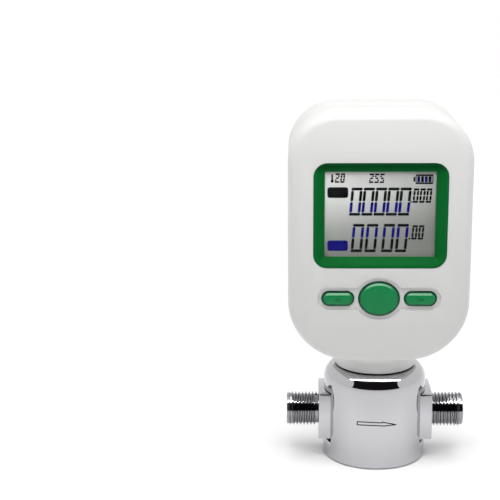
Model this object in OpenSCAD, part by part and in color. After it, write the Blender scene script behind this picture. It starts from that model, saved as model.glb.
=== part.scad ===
// Gas flow meter: a chrome pot with a square flow core and two threaded nipples, and a display
// head on a short neck. X runs along the gas path, -Y is the front, Z is up, and the origin is
// the centre of the pot's underside.

/* [Chrome pot] */
// Outer radius of the pot
pot_r = 19.8; // [19.6:0.1:21]
// Height of the pot's flat top
pot_h = 36.5; // [36:0.25:40]
// Wall of the pot
pot_wall = 2; // [1.6:0.1:2.2]
// Radius of the rounded shoulder
shoulder_r = 4.2; // [3:0.1:5]
// Rounding of the bottom rim
rim_r = 0.5; // [0.3:0.1:0.7]
// Gap beside and above a block in its window
window_gap = 0.5; // [0.3:0.1:0.8]
// Gap below a block in its window
window_drop = 1.4; // [1:0.1:1.6]
// Radius of the lead's hole in the pot's top
lead_hole_r = 6; // [5:0.25:6.5]

/* [Gas path] */
// Height of the gas path's axis
path_z = 17.25; // [17:0.05:17.5]
// Radius of the gas bore
bore_r = 4; // [3:0.1:4.1]
// Width of the square blocks
block_w = 18.45; // [18:0.05:18.8]
// Distance from the pot's axis to a block's outer face
block_reach = 21.96; // [21.5:0.01:23]
// Length of a nipple
nipple_l = 12.34; // [11:0.01:15]
// Crest radius of the pipe thread
thread_r = 6.58; // [6.4:0.01:6.7]
// Pitch of the pipe thread
thread_pitch = 1.337; // [1.2:0.001:1.5]
// Depth of the pipe thread
thread_depth = 0.856; // [0.7:0.001:0.9]
// Least plain stretch between a block and its thread
thread_relief = 1.2; // [0.8:0.05:1.6]
// Length of the full-width land at a nipple's end
nose_l = 1.4; // [1:0.05:1.6]
// Chamfer at a nipple's end
nipple_chamfer = 0.7; // [0.4:0.05:0.8]
// Length of the core between the two blocks
core_l = 29; // [28.5:0.1:29.4]
// Length of a spigot inside the core
spigot_l = 8; // [7.8:0.05:8.2]
// Radius of a spigot
spigot_r = 6.4; // [6.3:0.05:6.5]
// Radius of the core's turret
turret_r = 13.2; // [12.6:0.1:13.6]

/* [Flow sensor] */
// Radius of the sensor's pocket
pocket_r = 7.4; // [7.2:0.05:7.6]
// Height of the pocket's floor above the spigot's bore
pocket_rise = 1.2; // [1:0.05:1.5]
// Radius of the sensor carrier's stem
stem_r = 5.1; // [4.8:0.05:5.3]
// Thickness of the carrier's flange
flange_t = 1.6; // [1.2:0.1:2]
// Side of the sensor chip
chip_w = 3; // [2.4:0.1:3.2]
// Depth that the chip stands out of the stem
chip_t = 0.7; // [0.5:0.05:0.8]
// Thickness of the small sensor board
sensor_board_t = 1; // [0.8:0.1:1.4]

/* [Neck] */
// Outer radius of the neck
neck_r = 15.5; // [15.2:0.1:15.8]
// Wall of the neck
neck_wall = 2.5; // [2.3:0.1:2.6]
// Thickness of the neck's floor
neck_floor = 2.5; // [2:0.1:3]
// Thickness of the gasket under the neck
gasket_t = 0.35; // [0.25:0.05:0.5]
// Height of the neck's ring inside the case
neck_ring_h = 2; // [1.5:0.1:3]
// Distance of the neck screws from the axis
neck_screw_ring = 9.9; // [9.8:0.05:10.1]
// Radius of a neck screw
neck_screw_r = 1.5; // [1.3:0.05:1.55]

/* [Case] */
// Width of the case
case_w = 67.6; // [67.4:0.1:72]
// Height of the case
case_h = 94; // [93.7:0.1:98]
// Gap between the pot's top and the case
case_lift = 6.5; // [6:0.1:8]
// Radius of the two upper corners
high_corner_r = 18.5; // [17:0.1:19.5]
// Radius of the two lower corners
low_corner_r = 23.3; // [20:0.1:23.8]
// Distance from the axis to the front face
case_front = 20; // [19.8:0.1:22]
// Distance from the axis to the back face
case_back = 20.7; // [20.5:0.1:23]
// Wall of the case
case_wall = 2.3; // [2:0.1:2.4]
// Depth of the front edge's rounding
front_edge_d = 4.3; // [3.8:0.1:4.4]
// Width of the front edge's rounding at the sides
front_edge_side = 4; // [3.5:0.1:4.4]
// Width of the front edge's rounding at the top
front_edge_high = 3.2; // [2.8:0.1:4.2]
// Width of the front edge's rounding at the bottom
front_edge_low = 4.6; // [4:0.1:5]
// Rounding of the back edge
back_edge_r = 2.6; // [2:0.1:2.8]
// Distance from the axis to the parting plane
parting_y = 1.5; // [1.2:0.1:1.8]
// Width of the seal between the shells
seal_w = 0.9; // [0.7:0.05:1]

/* [Display] */
// Distance of the bezel from the case's top
bezel_high_gap = 18.2; // [18:0.1:18.4]
// Distance of the bezel from the case's lower edge
bezel_low_gap = 36.8; // [36.6:0.1:37]
// Width of the bezel
bezel_w = 48.7; // [48:0.1:49]
// Corner radius of the bezel
bezel_r = 5; // [4:0.1:6]
// Width of the visible display
window_w = 40.6; // [39:0.1:41]
// Distance of the visible display from the bezel's upper and lower edges
window_inset = 3.6; // [3.5:0.05:4]
// Depth of the window behind the front face
bezel_depth = 3; // [2.8:0.1:3.2]
// Height that the bezel's lip stands proud
lip_proud = 0.15; // [0.1:0.05:0.3]
// Thickness of the clear window
lens_t = 1; // [0.8:0.1:1.2]
// Thickness of the display glass
lcd_t = 2.2; // [1.8:0.1:2.4]
// Thickness of the light panel
light_t = 2.6; // [2.2:0.1:2.8]

/* [Keys] */
// Height of the keys above the case's lower edge
keys_up = 24.9; // [24.6:0.1:25.2]
// Width of the middle key
function_key_w = 15; // [14:0.1:15.4]
// Height of the middle key
function_key_h = 12.9; // [12:0.1:13.4]
// Width of a side key
side_key_w = 11.8; // [10.8:0.1:12]
// Height of a side key
side_key_h = 5.35; // [4.8:0.05:6]
// Distance of a side key from the middle
side_key_x = 15.25; // [15:0.05:15.5]
// Height of a key above its recess
key_proud = 1.3; // [1:0.05:1.8]
// Travel of a key
key_travel = 0.8; // [0.4:0.05:0.9]
// Gap round a key
key_gap = 0.25; // [0.15:0.05:0.3]
// Depth of the recess round the keys
recess_depth = 0.6; // [0.4:0.05:0.8]
// Width of the recess beyond a key
recess_margin = 1.5; // [1.2:0.05:1.8]

/* [Main board] */
// Gap between the main board and the case's side wall
board_side_gap = 2.9; // [2.7:0.1:3.2]
// Thickness of the main board
board_t = 1.6; // [1.2:0.1:1.8]
// Distance of the board from the case's top
board_high_gap = 12; // [11.8:0.1:12.3]
// Distance of the board from the case's lower edge
board_low_gap = 16.3; // [16.1:0.1:16.6]
// Gap between the display holder's floor and the board
board_stand = 2; // [1.7:0.1:2.2]
// Radius of a board screw
board_screw_r = 1.15; // [1:0.05:1.2]

/* [Batteries] */
// Distance of the battery bay from the case's side
bay_side_gap = 4.15; // [4.1:0.05:4.6]
// Distance of the bay from the case's top
bay_high_gap = 17.4; // [17.2:0.1:17.6]
// Distance of the bay from the case's lower edge
bay_low_gap = 20.2; // [20:0.1:20.4]
// Gap between two cells
cell_gap = 0.3; // [0.2:0.05:0.4]
// Length of a contact spring as fitted
contact_spring_l = 4.5; // [4:0.1:4.7]
// Wall of the bay
bay_wall = 1.2; // [1:0.1:1.3]
// Thickness of the battery door
door_t = 1.6; // [1.4:0.1:1.8]

/* [Hidden] */
$fn = 96;
hull_fn = 32;

// Clearances and overruns
seat_gap = 0.05;
slip_fit = 0.05;
screw_play = 0.2;
hole_past_screw = 0.6;
hex_share = 0.86;
boss_sink = 0.5;
overrun = 1;

// Chrome pot
pot_in_r = pot_r - pot_wall;
ceiling_z = pot_h - pot_wall;
window_w_cut = block_w + 2 * window_gap;
block_top_z = path_z + block_w / 2;
block_low_z = path_z - block_w / 2;
cover_t = 2.4;
cover_lift = 0.6;
cover_gap = 0.15;
cover_post_r = 3.4;
cover_well_r = 2.9;
cover_screw_y = 5.5;
cover_screw_r = 1.45;
cover_screw_bite = 4;
cover_screw_head_r = 2.7;
cover_screw_head_h = 1.8;
cover_hex_depth = 1;

// Flow core and adapters
spigot_bore_r = spigot_r + slip_fit;
screen_t = 0.5;
screen_hole_r = 0.5;
screen_ring_share = 0.36;
screen_outer_share = 0.74;
step_x = core_l / 2 - spigot_l - screen_t - 2 * seat_gap;
seal_groove_r = 5;
seal_r = (spigot_bore_r - seal_groove_r) / 2 - seat_gap;
seal_x = 1.9;
seal_groove_play = 0.3;
seal_groove_w = 2 * seal_r + seal_groove_play;
set_screw_r = 1.45;
set_screw_groove_w = 3.2;
set_screw_groove_depth = 0.8;
set_screw_sink = 0.3;
set_screw_hex_depth = 1.5;
set_screw_x = 5.6;
crest_share = 0.18;
crest_l = crest_share * thread_pitch;
flank_l = thread_pitch / 2 - crest_l;
root_r = thread_r - thread_depth;
crest_count = floor(
    (nipple_l - thread_relief - nose_l - nipple_chamfer - flank_l) / thread_pitch);
adapter_x = core_l / 2 + seat_gap;
nipple_end_x = block_reach + nipple_l;
nose_x = nipple_end_x - nipple_chamfer - nose_l;
thread_x = nose_x - flank_l - crest_count * thread_pitch;
block_chamfer = 0.4;

// Flow sensor
pocket_z = path_z + spigot_bore_r + pocket_rise;
stem_floor_t = 0.4;
stem_floor_z = path_z + bore_r + stem_floor_t;
chip_play = 0.1;
chip_hole_r = chip_w * sqrt(2) / 2 + chip_play;
sensor_gasket_t = 0.5;
pocket_play = 0.2;
flange_z = pocket_z + sensor_gasket_t + 2 * seat_gap;
sensor_board_z = flange_z + flange_t + seat_gap;
sensor_board_step = 0.6;
sensor_board_r = stem_r - sensor_board_step;
turret_z = ceiling_z - seat_gap;
// The ring nut takes its share of the room between the carrier and the turret's top
ring_nut_share = 2.5 / 7.3;
ring_nut_h = ring_nut_share * (turret_z - sensor_board_z);
ring_nut_slot_w = 1.4;

// Neck and its screws
neck_z = pot_h + gasket_t + 2 * seat_gap;
neck_in_r = neck_r - neck_wall;
neck_floor_z = neck_z + neck_floor;
neck_screw_l = 12;
neck_screw_head_r = 2.75;
neck_screw_head_h = 2;
neck_screw_hex_r = 1.4;
gasket_inset = 0.5;
neck_notch_gap = 0.2;

// Case
case_z = pot_h + case_lift;
case_top_z = case_z + case_h;
edge_steps = 5;
corner_steps = 10;
neck_ring_z = case_z + case_wall + neck_ring_h;
seal_inset = 0.8;
seal_depth = 0.8;
seal_play = 0.05;
case_screw_high_x = 14;
case_screw_high_drop = 7.5;
case_screw_low_x = 20;
case_screw_low_up = 12;
case_screw_r = 1.45;
case_screw_head_r = 2.75;
case_screw_head_h = 2.2;
case_screw_bite = 10;
case_screw_seat = 4.5;
case_well_r = 3;
front_boss_r = 3.5;
rear_boss_r = 4.2;
case_screw_places = [
    for (s = [-1, 1]) [s * case_screw_high_x, case_top_z - case_screw_high_drop],
    for (s = [-1, 1]) [s * case_screw_low_x, case_z + case_screw_low_up]
];

// Display stack, from the front face inwards
bezel_h = case_h - bezel_high_gap - bezel_low_gap;
bezel_z = case_z + bezel_low_gap + bezel_h / 2;
bezel_fit = 0.15;
bezel_step_w = 1.6;
bezel_step_depth = 1.7;
bezel_step_y = -case_front + bezel_step_depth;
bezel_lap = 0.5;
window_h = bezel_h - 2 * window_inset;
window_r = 0.5;
bezel_back_y = -case_front + bezel_depth;
lip_w = 1;
lip_front_y = -case_front - lip_proud;
lens_margin = 1.6;
lens_y = bezel_back_y + seat_gap;
lcd_y = lens_y + lens_t + seat_gap;
lcd_margin = 1.9;
lcd_ledge = 4.2;
lcd_w = window_w + 2 * lcd_margin;
lcd_h = window_h + lcd_margin + lcd_ledge;
lcd_z = bezel_z + (lcd_margin - lcd_ledge) / 2;
light_y = lcd_y + lcd_t + seat_gap;
light_h = lcd_h - lcd_ledge;
light_z = lcd_z + (lcd_h - light_h) / 2;
holder_wall = 1;
holder_play = 0.1;
holder_floor_y = light_y + light_t + seat_gap;
holder_floor_t = 1;
board_y = holder_floor_y + holder_floor_t + board_stand;
strip_w = 38;
strip_h = 2;
strip_z = lcd_z - lcd_h / 2 + lcd_ledge / 2;

// Keys and switches
keys_z = case_z + keys_up;
recess_y = -case_front + recess_depth;
key_front_y = recess_y - key_proud;
wall_in_y = -case_front + case_wall;
key_flange_w = 0.9;
key_flange_t = 1;
key_flange_play = 0.2;
key_flange_y = wall_in_y + key_flange_play;
key_rim_w = 0.6;
key_rim_t = 0.5;
key_stem_r = 1.6;
switch_w = 6;
switch_h = 3.4;
switch_y = board_y - switch_h;
plunger_r = 1.75;
plunger_stand = 1.25;
plunger_depth = 1.5;
plunger_y = switch_y - plunger_stand;
plunger_bore_r = plunger_r + slip_fit;
plunger_end_play = 0.3;
plunger_bore_depth = plunger_depth + key_travel + plunger_end_play;
key_x = [-side_key_x, 0, side_key_x];

// Main board
board_w = case_w - 2 * (case_wall + board_side_gap);
board_h = case_h - board_low_gap - board_high_gap;
board_z = case_z + board_low_gap;
board_back_y = board_y + board_t;
board_screw_in = 2.6;
board_post_r = 2.3;
board_screw_bite = 5;
board_screw_head_r = 2.1;
board_screw_head_h = 1.4;
board_corner_r = 2;
board_screw_places = [
    for (sx = [-1, 1]) for (z = [board_z + board_screw_in, board_z + board_h - board_screw_in])
        [sx * (board_w / 2 - board_screw_in), z]
];

// Ribbon lead and its socket
ribbon_w = 8;
ribbon_t = 0.5;
socket_w = 10;
socket_d = 4;
socket_h = 5;
socket_up = 2;
socket_z = board_z + socket_up;
ribbon_y = board_back_y + socket_d / 2;
ribbon_low_z = sensor_board_z + sensor_board_t + seat_gap;
ribbon_straight_low = 1.5;
ribbon_straight_high = 6;
ribbon_bend_low_z = neck_floor_z + ribbon_straight_low;
ribbon_bend_high_z = socket_z - ribbon_straight_high;
ribbon_steps = 12;

// Battery bay, from the back face inwards
bay_half_w = case_w / 2 - bay_side_gap;
bay_h = case_h - bay_low_gap - bay_high_gap;
bay_z = case_z + bay_low_gap + bay_h / 2;
cell_count = 4;
cell_side_play = 0.2;
cell_front_play = 0.3;
cell_back_play = 0.95;
contact_t = 0.5;
nub_l = 1;
nub_r = 2.7;
cell_r = (bay_half_w - cell_side_play - (cell_count - 1) / 2 * cell_gap) / cell_count;
cell_l = bay_h - contact_spring_l - 2 * contact_t - 8 * seat_gap;
cell_pitch = 2 * cell_r + cell_gap;
end_cell_x = (cell_count - 1) / 2 * cell_pitch;
door_in_y = case_back - door_t;
cells_y = door_in_y - cell_r - cell_back_play;
bay_floor_y = cells_y - cell_r - cell_front_play;
bay_front_y = bay_floor_y - bay_wall;
door_ledge = 0.8;
door_ledge_y = door_in_y - 2 * seat_gap;
door_play = 0.3;
door_r = 4;
door_half_w = bay_half_w + door_ledge;
door_h = bay_h + 2 * door_ledge + 2 * door_play;
lug_w = 16;
lug_past_screw = 3.9;
door_screw_past_bay = 4.6;
door_screw_up = bay_h / 2 + bay_wall + door_screw_past_bay;
door_screw_r = 1.3;
door_screw_head_r = 2.4;
door_screw_head_h = 1.5;
door_well_r = 2.6;
door_slot_w = 0.7;
door_screw_sink = 0.3;
door_screw_l = 7;
door_boss_r = 3.2;
door_boss_h = 2;
door_boss_play = 0.2;
shell_boss_r = 4.2;
shell_boss_h = 7.5;
terminal_w = 3;
terminal_slot = 0.3;
contact_w = 10;
spring_base_r = 4.2;
spring_tip_r = 3;

// A 2D outline in X and Z, extruded from y0 to y1
module slab(y0, y1)
    translate([0, y1, 0]) rotate([90, 0, 0]) linear_extrude(height = y1 - y0) children();

// A round rod along Y
module rod(place, r, y0, y1)
    slab(y0, y1) translate(place) circle(r = r);

// A round rod along X, from x0 to x1 on the gas path's axis
module path_rod(r, x0, x1)
    translate([x0, 0, path_z]) rotate([0, 90, 0]) cylinder(r = r, h = x1 - x0);

// A rectangle with round corners, centred
module rounded(w, h, r) {
    square([w - 2 * r, h], center = true);
    square([w, h - 2 * r], center = true);
    for (sx = [-1, 1]) for (sy = [-1, 1])
        translate([sx * (w / 2 - r), sy * (h / 2 - r)]) circle(r = r);
}

// A rectangle with half-round ends, centred
module pill(w, h) {
    square([w - h, h], center = true);
    for (s = [-1, 1]) translate([s * (w - h) / 2, 0]) circle(r = h / 2);
}

module ellipse(w, h)
    polygon([for (i = [0:$fn - 1]) let (a = 360 * i / $fn) [w / 2 * cos(a), h / 2 * sin(a)]]);

// The same square-ended screw shape for every screw: head, then shank, pointing along -Z
module screw(head_r, head_h, shank_r, shank_l) {
    cylinder(r = head_r, h = head_h);
    translate([0, 0, -shank_l]) cylinder(r = shank_r, h = shank_l + head_h / 2);
}

// Chrome pot

module pot_profile(r, h, shoulder, rim) {
    translate([0, rim]) square([r, h - shoulder - rim]);
    square([r - rim, h - shoulder]);
    translate([r - rim, rim]) circle(r = rim);
    square([r - shoulder, h]);
    translate([r - shoulder, h - shoulder]) circle(r = shoulder);
}

module chrome_housing() color("silver") difference() {
    rotate_extrude() pot_profile(pot_r, pot_h, shoulder_r, rim_r);
    rotate_extrude() pot_profile(pot_in_r, ceiling_z, shoulder_r - pot_wall, rim_r);
    translate([0, 0, -overrun]) cylinder(r = pot_in_r, h = overrun + shoulder_r);
    for (side = [-1, 1])
        translate([side * pot_r, 0, block_low_z - window_drop])
            translate([-pot_r / 2, -window_w_cut / 2, 0])
                cube([pot_r, window_w_cut, block_w + window_gap + window_drop]);
    translate([0, 0, ceiling_z - overrun]) cylinder(r = lead_hole_r, h = pot_wall + 2 * overrun);
    neck_screw_shapes(neck_screw_r + screw_play, ceiling_z - overrun, pot_wall + 2 * overrun);
}

module cover_places()
    for (s = [-1, 1]) translate([0, s * cover_screw_y, 0]) children();

module bottom_cover() color("dimgray") difference() {
    union() {
        translate([0, 0, cover_lift]) cylinder(r = pot_in_r - cover_gap, h = cover_t);
        cover_places() translate([0, 0, cover_lift])
            cylinder(r = cover_post_r, h = block_low_z - seat_gap - cover_lift);
    }
    cover_places() {
        translate([0, 0, cover_lift - overrun])
            cylinder(r = cover_well_r, h = overrun + cover_screw_head_h + 2 * seat_gap);
        cylinder(r = cover_screw_r + slip_fit, h = block_low_z);
    }
}

module bottom_cover_screws() color("gray")
    cover_places() difference() {
        translate([0, 0, cover_lift + cover_screw_head_h]) rotate([180, 0, 0])
            screw(cover_screw_head_r, cover_screw_head_h, cover_screw_r,
                block_low_z + cover_screw_bite - cover_lift - cover_screw_head_h);
        translate([0, 0, cover_lift - overrun])
            cylinder(r = hex_share * cover_screw_r, h = overrun + cover_hex_depth, $fn = 6);
    }

// Flow core

module neck_screw_shapes(r, z, h)
    for (a = [45:90:315]) rotate([0, 0, a])
        translate([neck_screw_ring, 0, z]) cylinder(r = r, h = h);

module set_screw_places()
    for (side = [-1, 1]) translate([side * (core_l / 2 - spigot_l + set_screw_x), 0, 0])
        children();

module flow_core() color("lightsteelblue") difference() {
    union() {
        translate([-core_l / 2, -block_w / 2, block_low_z]) cube([core_l, block_w, block_w]);
        translate([0, 0, path_z]) cylinder(r = turret_r, h = turret_z - path_z);
    }
    path_rod(bore_r, -core_l / 2, core_l / 2);
    path_rod(spigot_bore_r, step_x, core_l / 2 + overrun);
    path_rod(spigot_bore_r, -core_l / 2 - overrun, -step_x);
    for (side = [-1, 1])
        translate([side * (core_l / 2 + turret_r) - turret_r, -turret_r, block_low_z])
            cube([2 * turret_r, 2 * turret_r, block_w + turret_z]);
    translate([0, 0, pocket_z]) cylinder(r = pocket_r, h = turret_z);
    translate([0, 0, stem_floor_z]) cylinder(r = stem_r + slip_fit, h = turret_z);
    translate([0, 0, path_z]) cylinder(r = chip_hole_r, h = turret_z - path_z);
    neck_screw_shapes(neck_screw_r + slip_fit, neck_floor_z - neck_screw_l - hole_past_screw,
        neck_screw_l);
    cover_places() translate([0, 0, block_low_z - overrun])
        cylinder(r = cover_screw_r + slip_fit, h = overrun + cover_screw_bite + hole_past_screw);
    set_screw_places() translate([0, 0, block_low_z - overrun])
        cylinder(r = set_screw_r + slip_fit, h = overrun + block_w / 2);
}

// Outline of a turned adapter: radius against distance along the axis
function thread_points() = [
    for (i = [0:crest_count - 1])
        let (x = thread_x + i * thread_pitch)
            each [[root_r, x], [thread_r, x + flank_l], [thread_r, x + flank_l + crest_l],
                [root_r, x + 2 * flank_l + crest_l]]
];

module adapter() difference() {
    union() {
        rotate([0, 90, 0]) rotate_extrude() polygon(concat(
            [[0, adapter_x - spigot_l], [spigot_r, adapter_x - spigot_l],
                [spigot_r, adapter_x + overrun], [root_r, adapter_x + overrun]],
            thread_points(),
            [[root_r, nose_x - flank_l], [thread_r, nose_x], [thread_r, nose_x + nose_l],
                [thread_r - nipple_chamfer, nipple_end_x], [0, nipple_end_x]]
        ));
        difference() {
            translate([adapter_x, -block_w / 2, -block_w / 2])
                cube([block_reach - adapter_x, block_w, block_w]);
            for (turn = [0:90:270]) rotate([turn, 0, 0])
                translate([block_reach, 0, block_w / 2]) rotate([0, 45, 0])
                    cube([block_chamfer * sqrt(2), block_w + overrun, block_chamfer * sqrt(2)],
                        center = true);
        }
    }
    rotate([0, 90, 0]) cylinder(r = bore_r, h = nipple_end_x + overrun);
    rotate([0, 90, 0]) rotate_extrude() {
        translate([seal_groove_r, adapter_x - spigot_l + seal_x - seal_groove_w / 2])
            square([spigot_r, seal_groove_w]);
        translate([spigot_r - set_screw_groove_depth,
            adapter_x - spigot_l + set_screw_x - set_screw_groove_w / 2])
            square([spigot_r, set_screw_groove_w]);
    }
}

module inlet_adapter() color("gainsboro")
    translate([0, 0, path_z]) mirror([1, 0, 0]) adapter();

module outlet_adapter() color("gainsboro")
    translate([0, 0, path_z]) adapter();

module spigot_seal()
    translate([adapter_x - spigot_l + seal_x, 0, path_z]) rotate([0, 90, 0])
        rotate_extrude() translate([seal_groove_r + seat_gap + seal_r, 0]) circle(r = seal_r);

module inlet_seal() color("black") mirror([1, 0, 0]) spigot_seal();

module outlet_seal() color("black") spigot_seal();

module screen() difference() {
    path_rod(spigot_r, step_x + seat_gap, step_x + seat_gap + screen_t);
    path_rod(screen_hole_r, step_x, step_x + 2 * screen_t);
    for (ring = [[6, screen_ring_share], [12, screen_outer_share]])
        for (i = [0:ring[0] - 1])
            translate([step_x, 0, path_z]) rotate([i * 360 / ring[0], 0, 0])
                translate([0, 0, ring[1] * bore_r]) rotate([0, 90, 0])
                    cylinder(r = screen_hole_r, h = 2 * screen_t);
}

module inlet_screen() color("goldenrod") mirror([1, 0, 0]) screen();

module outlet_screen() color("goldenrod") screen();

module adapter_set_screws() color("gray")
    set_screw_places() difference() {
        translate([0, 0, block_low_z + set_screw_sink])
            cylinder(r = set_screw_r, h = path_z - spigot_r + set_screw_groove_depth
                - seat_gap - block_low_z - set_screw_sink);
        translate([0, 0, block_low_z - overrun])
            cylinder(r = set_screw_r / 2, h = overrun + set_screw_hex_depth, $fn = 6);
    }

// Flow sensor

module sensor_gasket() color("black") difference() {
    translate([0, 0, pocket_z + seat_gap]) cylinder(r = pocket_r - pocket_play, h = sensor_gasket_t);
    translate([0, 0, pocket_z]) cylinder(r = stem_r + slip_fit, h = pocket_r);
}

module sensor_carrier() color("ivory") {
    translate([0, 0, flange_z]) cylinder(r = pocket_r - pocket_play, h = flange_t);
    translate([0, 0, stem_floor_z + seat_gap])
        cylinder(r = stem_r, h = flange_z + flange_t / 2 - stem_floor_z - seat_gap);
}

module sensor_chip() color("darkslategray")
    translate([-chip_w / 2, -chip_w / 2, stem_floor_z - chip_t]) cube([chip_w, chip_w, chip_t]);

module sensor_board() color("darkgreen")
    translate([0, 0, sensor_board_z]) cylinder(r = sensor_board_r, h = sensor_board_t);

module sensor_ring_nut() color("gray") difference() {
    translate([0, 0, flange_z + flange_t + seat_gap]) cylinder(r = pocket_r - slip_fit, h = ring_nut_h);
    translate([0, 0, flange_z]) cylinder(r = sensor_board_r + pocket_play, h = pocket_r);
    translate([-pocket_r, -ring_nut_slot_w / 2, flange_z + flange_t + ring_nut_h / 2])
        cube([2 * pocket_r, ring_nut_slot_w, ring_nut_h]);
}

// The ribbon's middle line in Y and Z: straight, an S-bend, straight
function bend_share(t) = (1 - cos(180 * t)) / 2;
ribbon_points = concat(
    [[0, ribbon_low_z]],
    [for (i = [0:ribbon_steps]) let (t = i / ribbon_steps)
        [ribbon_y * bend_share(t),
            ribbon_bend_low_z + t * (ribbon_bend_high_z - ribbon_bend_low_z)]],
    [[ribbon_y, socket_z - seat_gap]]
);

function sideways(points, i, d) =
    let (
        a = points[max(i - 1, 0)],
        b = points[min(i + 1, len(points) - 1)],
        along = (b - a) / norm(b - a)
    ) points[i] + d * [along[1], -along[0]];

module sensor_ribbon() color("lightgray")
    translate([-ribbon_w / 2, 0, 0]) rotate([90, 0, 90]) linear_extrude(height = ribbon_w)
        polygon(concat(
            [for (i = [0:len(ribbon_points) - 1]) sideways(ribbon_points, i, ribbon_t / 2)],
            [for (i = [len(ribbon_points) - 1:-1:0]) sideways(ribbon_points, i, -ribbon_t / 2)]
        ));

module ribbon_socket() color("white")
    translate([-socket_w / 2, board_back_y, socket_z]) cube([socket_w, socket_d, socket_h]);

// Neck

module neck_gasket() color("black") difference() {
    translate([0, 0, pot_h + seat_gap]) cylinder(r = neck_r - gasket_inset, h = gasket_t);
    translate([0, 0, pot_h - overrun]) cylinder(r = neck_in_r, h = 2 * overrun);
}

module neck_screws() color("gray")
    for (a = [45:90:315]) rotate([0, 0, a]) translate([neck_screw_ring, 0, neck_floor_z + seat_gap])
        difference() {
            screw(neck_screw_head_r, neck_screw_head_h, neck_screw_r, neck_screw_l);
            translate([0, 0, neck_screw_head_h / 2])
                cylinder(r = neck_screw_hex_r, h = neck_screw_head_h, $fn = 6);
        }

// Case

// The case seen from the front, drawn in evenly
module case_outline(inset) {
    for (s = [-1, 1]) {
        translate([s * (case_w / 2 - high_corner_r), case_top_z - high_corner_r])
            circle(r = high_corner_r - inset);
        translate([s * (case_w / 2 - low_corner_r), case_z + low_corner_r])
            circle(r = low_corner_r - inset);
    }
    translate([high_corner_r - case_w / 2, case_top_z - high_corner_r])
        square([case_w - 2 * high_corner_r, high_corner_r - inset]);
    translate([inset - case_w / 2, case_z + low_corner_r])
        square([case_w - 2 * inset, case_h - low_corner_r - high_corner_r]);
    translate([low_corner_r - case_w / 2, case_z + inset])
        square([case_w - 2 * low_corner_r, low_corner_r - inset]);
}

// One closed line of points round the case, drawn in by its own amount at side, top and bottom
function case_ring(y, side, high, low) = [
    for (q = [0:3]) for (i = [0:corner_steps])
        let (
            sx = q == 0 || q == 3 ? 1 : -1,
            r = q < 2 ? high_corner_r : low_corner_r,
            mid_z = q < 2 ? case_top_z - r : case_z + r,
            a = 90 * (q + i / corner_steps)
        ) [
            sx * (case_w / 2 - r) + (r - side) * cos(a), y,
            mid_z + (r - (q < 2 ? high : low)) * sin(a)
        ]
];

// The ring at step i of an edge; way is 1 at the front and -1 at the back
function edge_ring(y, way, i, inset, depth, side, high, low) =
    let (a = i * 90 / edge_steps, draw = 1 - cos(a)) case_ring(
        y + way * (inset + (depth - inset / 2) * (1 - sin(a))),
        inset + draw * (side - inset / 2), inset + draw * (high - inset / 2),
        inset + draw * (low - inset / 2)
    );

// The case's outside for inset 0 and its inside for inset case_wall
module case_solid(inset) {
    rings = concat(
        [for (i = [edge_steps:-1:0]) edge_ring(-case_front, 1, i, inset,
            front_edge_d, front_edge_side, front_edge_high, front_edge_low)],
        [for (i = [0:edge_steps]) edge_ring(case_back, -1, i, inset,
            back_edge_r, back_edge_r, back_edge_r, back_edge_r)]
    );
    count = len(rings[0]);
    last = len(rings) - 1;
    polyhedron(
        points = [for (ring = rings) each ring],
        faces = concat(
            [for (k = [0:last - 1]) for (i = [0:count - 1])
                let (a = k * count + i, b = k * count + (i + 1) % count)
                    each [[a, b, b + count], [a, b + count, a + count]]],
            [for (i = [1:count - 2]) [0, i + 1, i]],
            [for (i = [1:count - 2]) [last * count, last * count + i, last * count + i + 1]]
        )
    );
}

module half_space(y0, y1)
    translate([-case_w, y0, 0]) cube([2 * case_w, y1 - y0, 2 * case_top_z]);

module key_hole_outline() {
    translate([0, keys_z]) ellipse(function_key_w + 2 * key_gap, function_key_h + 2 * key_gap);
    for (s = [-1, 1]) translate([s * side_key_x, keys_z])
        pill(side_key_w + 2 * key_gap, side_key_h + 2 * key_gap);
}

module key_recess_outline() {
    translate([0, keys_z])
        ellipse(function_key_w + 2 * recess_margin, function_key_h + 2 * recess_margin);
    translate([0, keys_z])
        pill(2 * side_key_x + side_key_w + 2 * recess_margin, side_key_h + 2 * recess_margin);
}

module bezel_outline(grow)
    translate([0, bezel_z]) rounded(bezel_w + 2 * grow, bezel_h + 2 * grow, bezel_r + grow);

module front_shell() color("whitesmoke") difference() {
    union() {
        difference() {
            intersection() {
                case_solid(0);
                half_space(-2 * case_front, parting_y);
            }
            case_solid(case_wall);
        }
        translate([0, 0, neck_z]) cylinder(r = neck_r, h = neck_ring_z - neck_z);
        for (p = case_screw_places) rod(p, front_boss_r, wall_in_y - boss_sink, parting_y);
        for (p = board_screw_places)
            rod(p, board_post_r, wall_in_y - boss_sink, board_y - seat_gap);
    }
    translate([0, 0, neck_floor_z]) cylinder(r = neck_in_r, h = neck_ring_z);
    translate([0, 0, neck_z - overrun]) cylinder(r = lead_hole_r, h = 2 * neck_floor);
    neck_screw_shapes(neck_screw_r + screw_play, neck_z - overrun, 2 * neck_floor);
    slab(-2 * case_front, bezel_step_y + seat_gap) bezel_outline(bezel_fit);
    slab(-case_front, wall_in_y + overrun) bezel_outline(bezel_fit - bezel_step_w);
    slab(-2 * case_front, recess_y) key_recess_outline();
    slab(-case_front, wall_in_y + overrun) key_hole_outline();
    for (p = case_screw_places)
        rod(p, case_screw_r + slip_fit, parting_y - case_screw_bite - hole_past_screw,
            parting_y + overrun);
    for (p = board_screw_places)
        rod(p, board_screw_r + slip_fit, board_y - board_screw_bite - hole_past_screw,
            board_y + overrun);
}

module door_outline(grow) {
    translate([0, bay_z]) rounded(2 * door_half_w + 2 * grow, door_h + 2 * grow, door_r + grow);
    translate([0, bay_z])
        rounded(lug_w + 2 * grow, 2 * (door_screw_up + lug_past_screw) + 2 * grow, door_r + grow);
}

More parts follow.
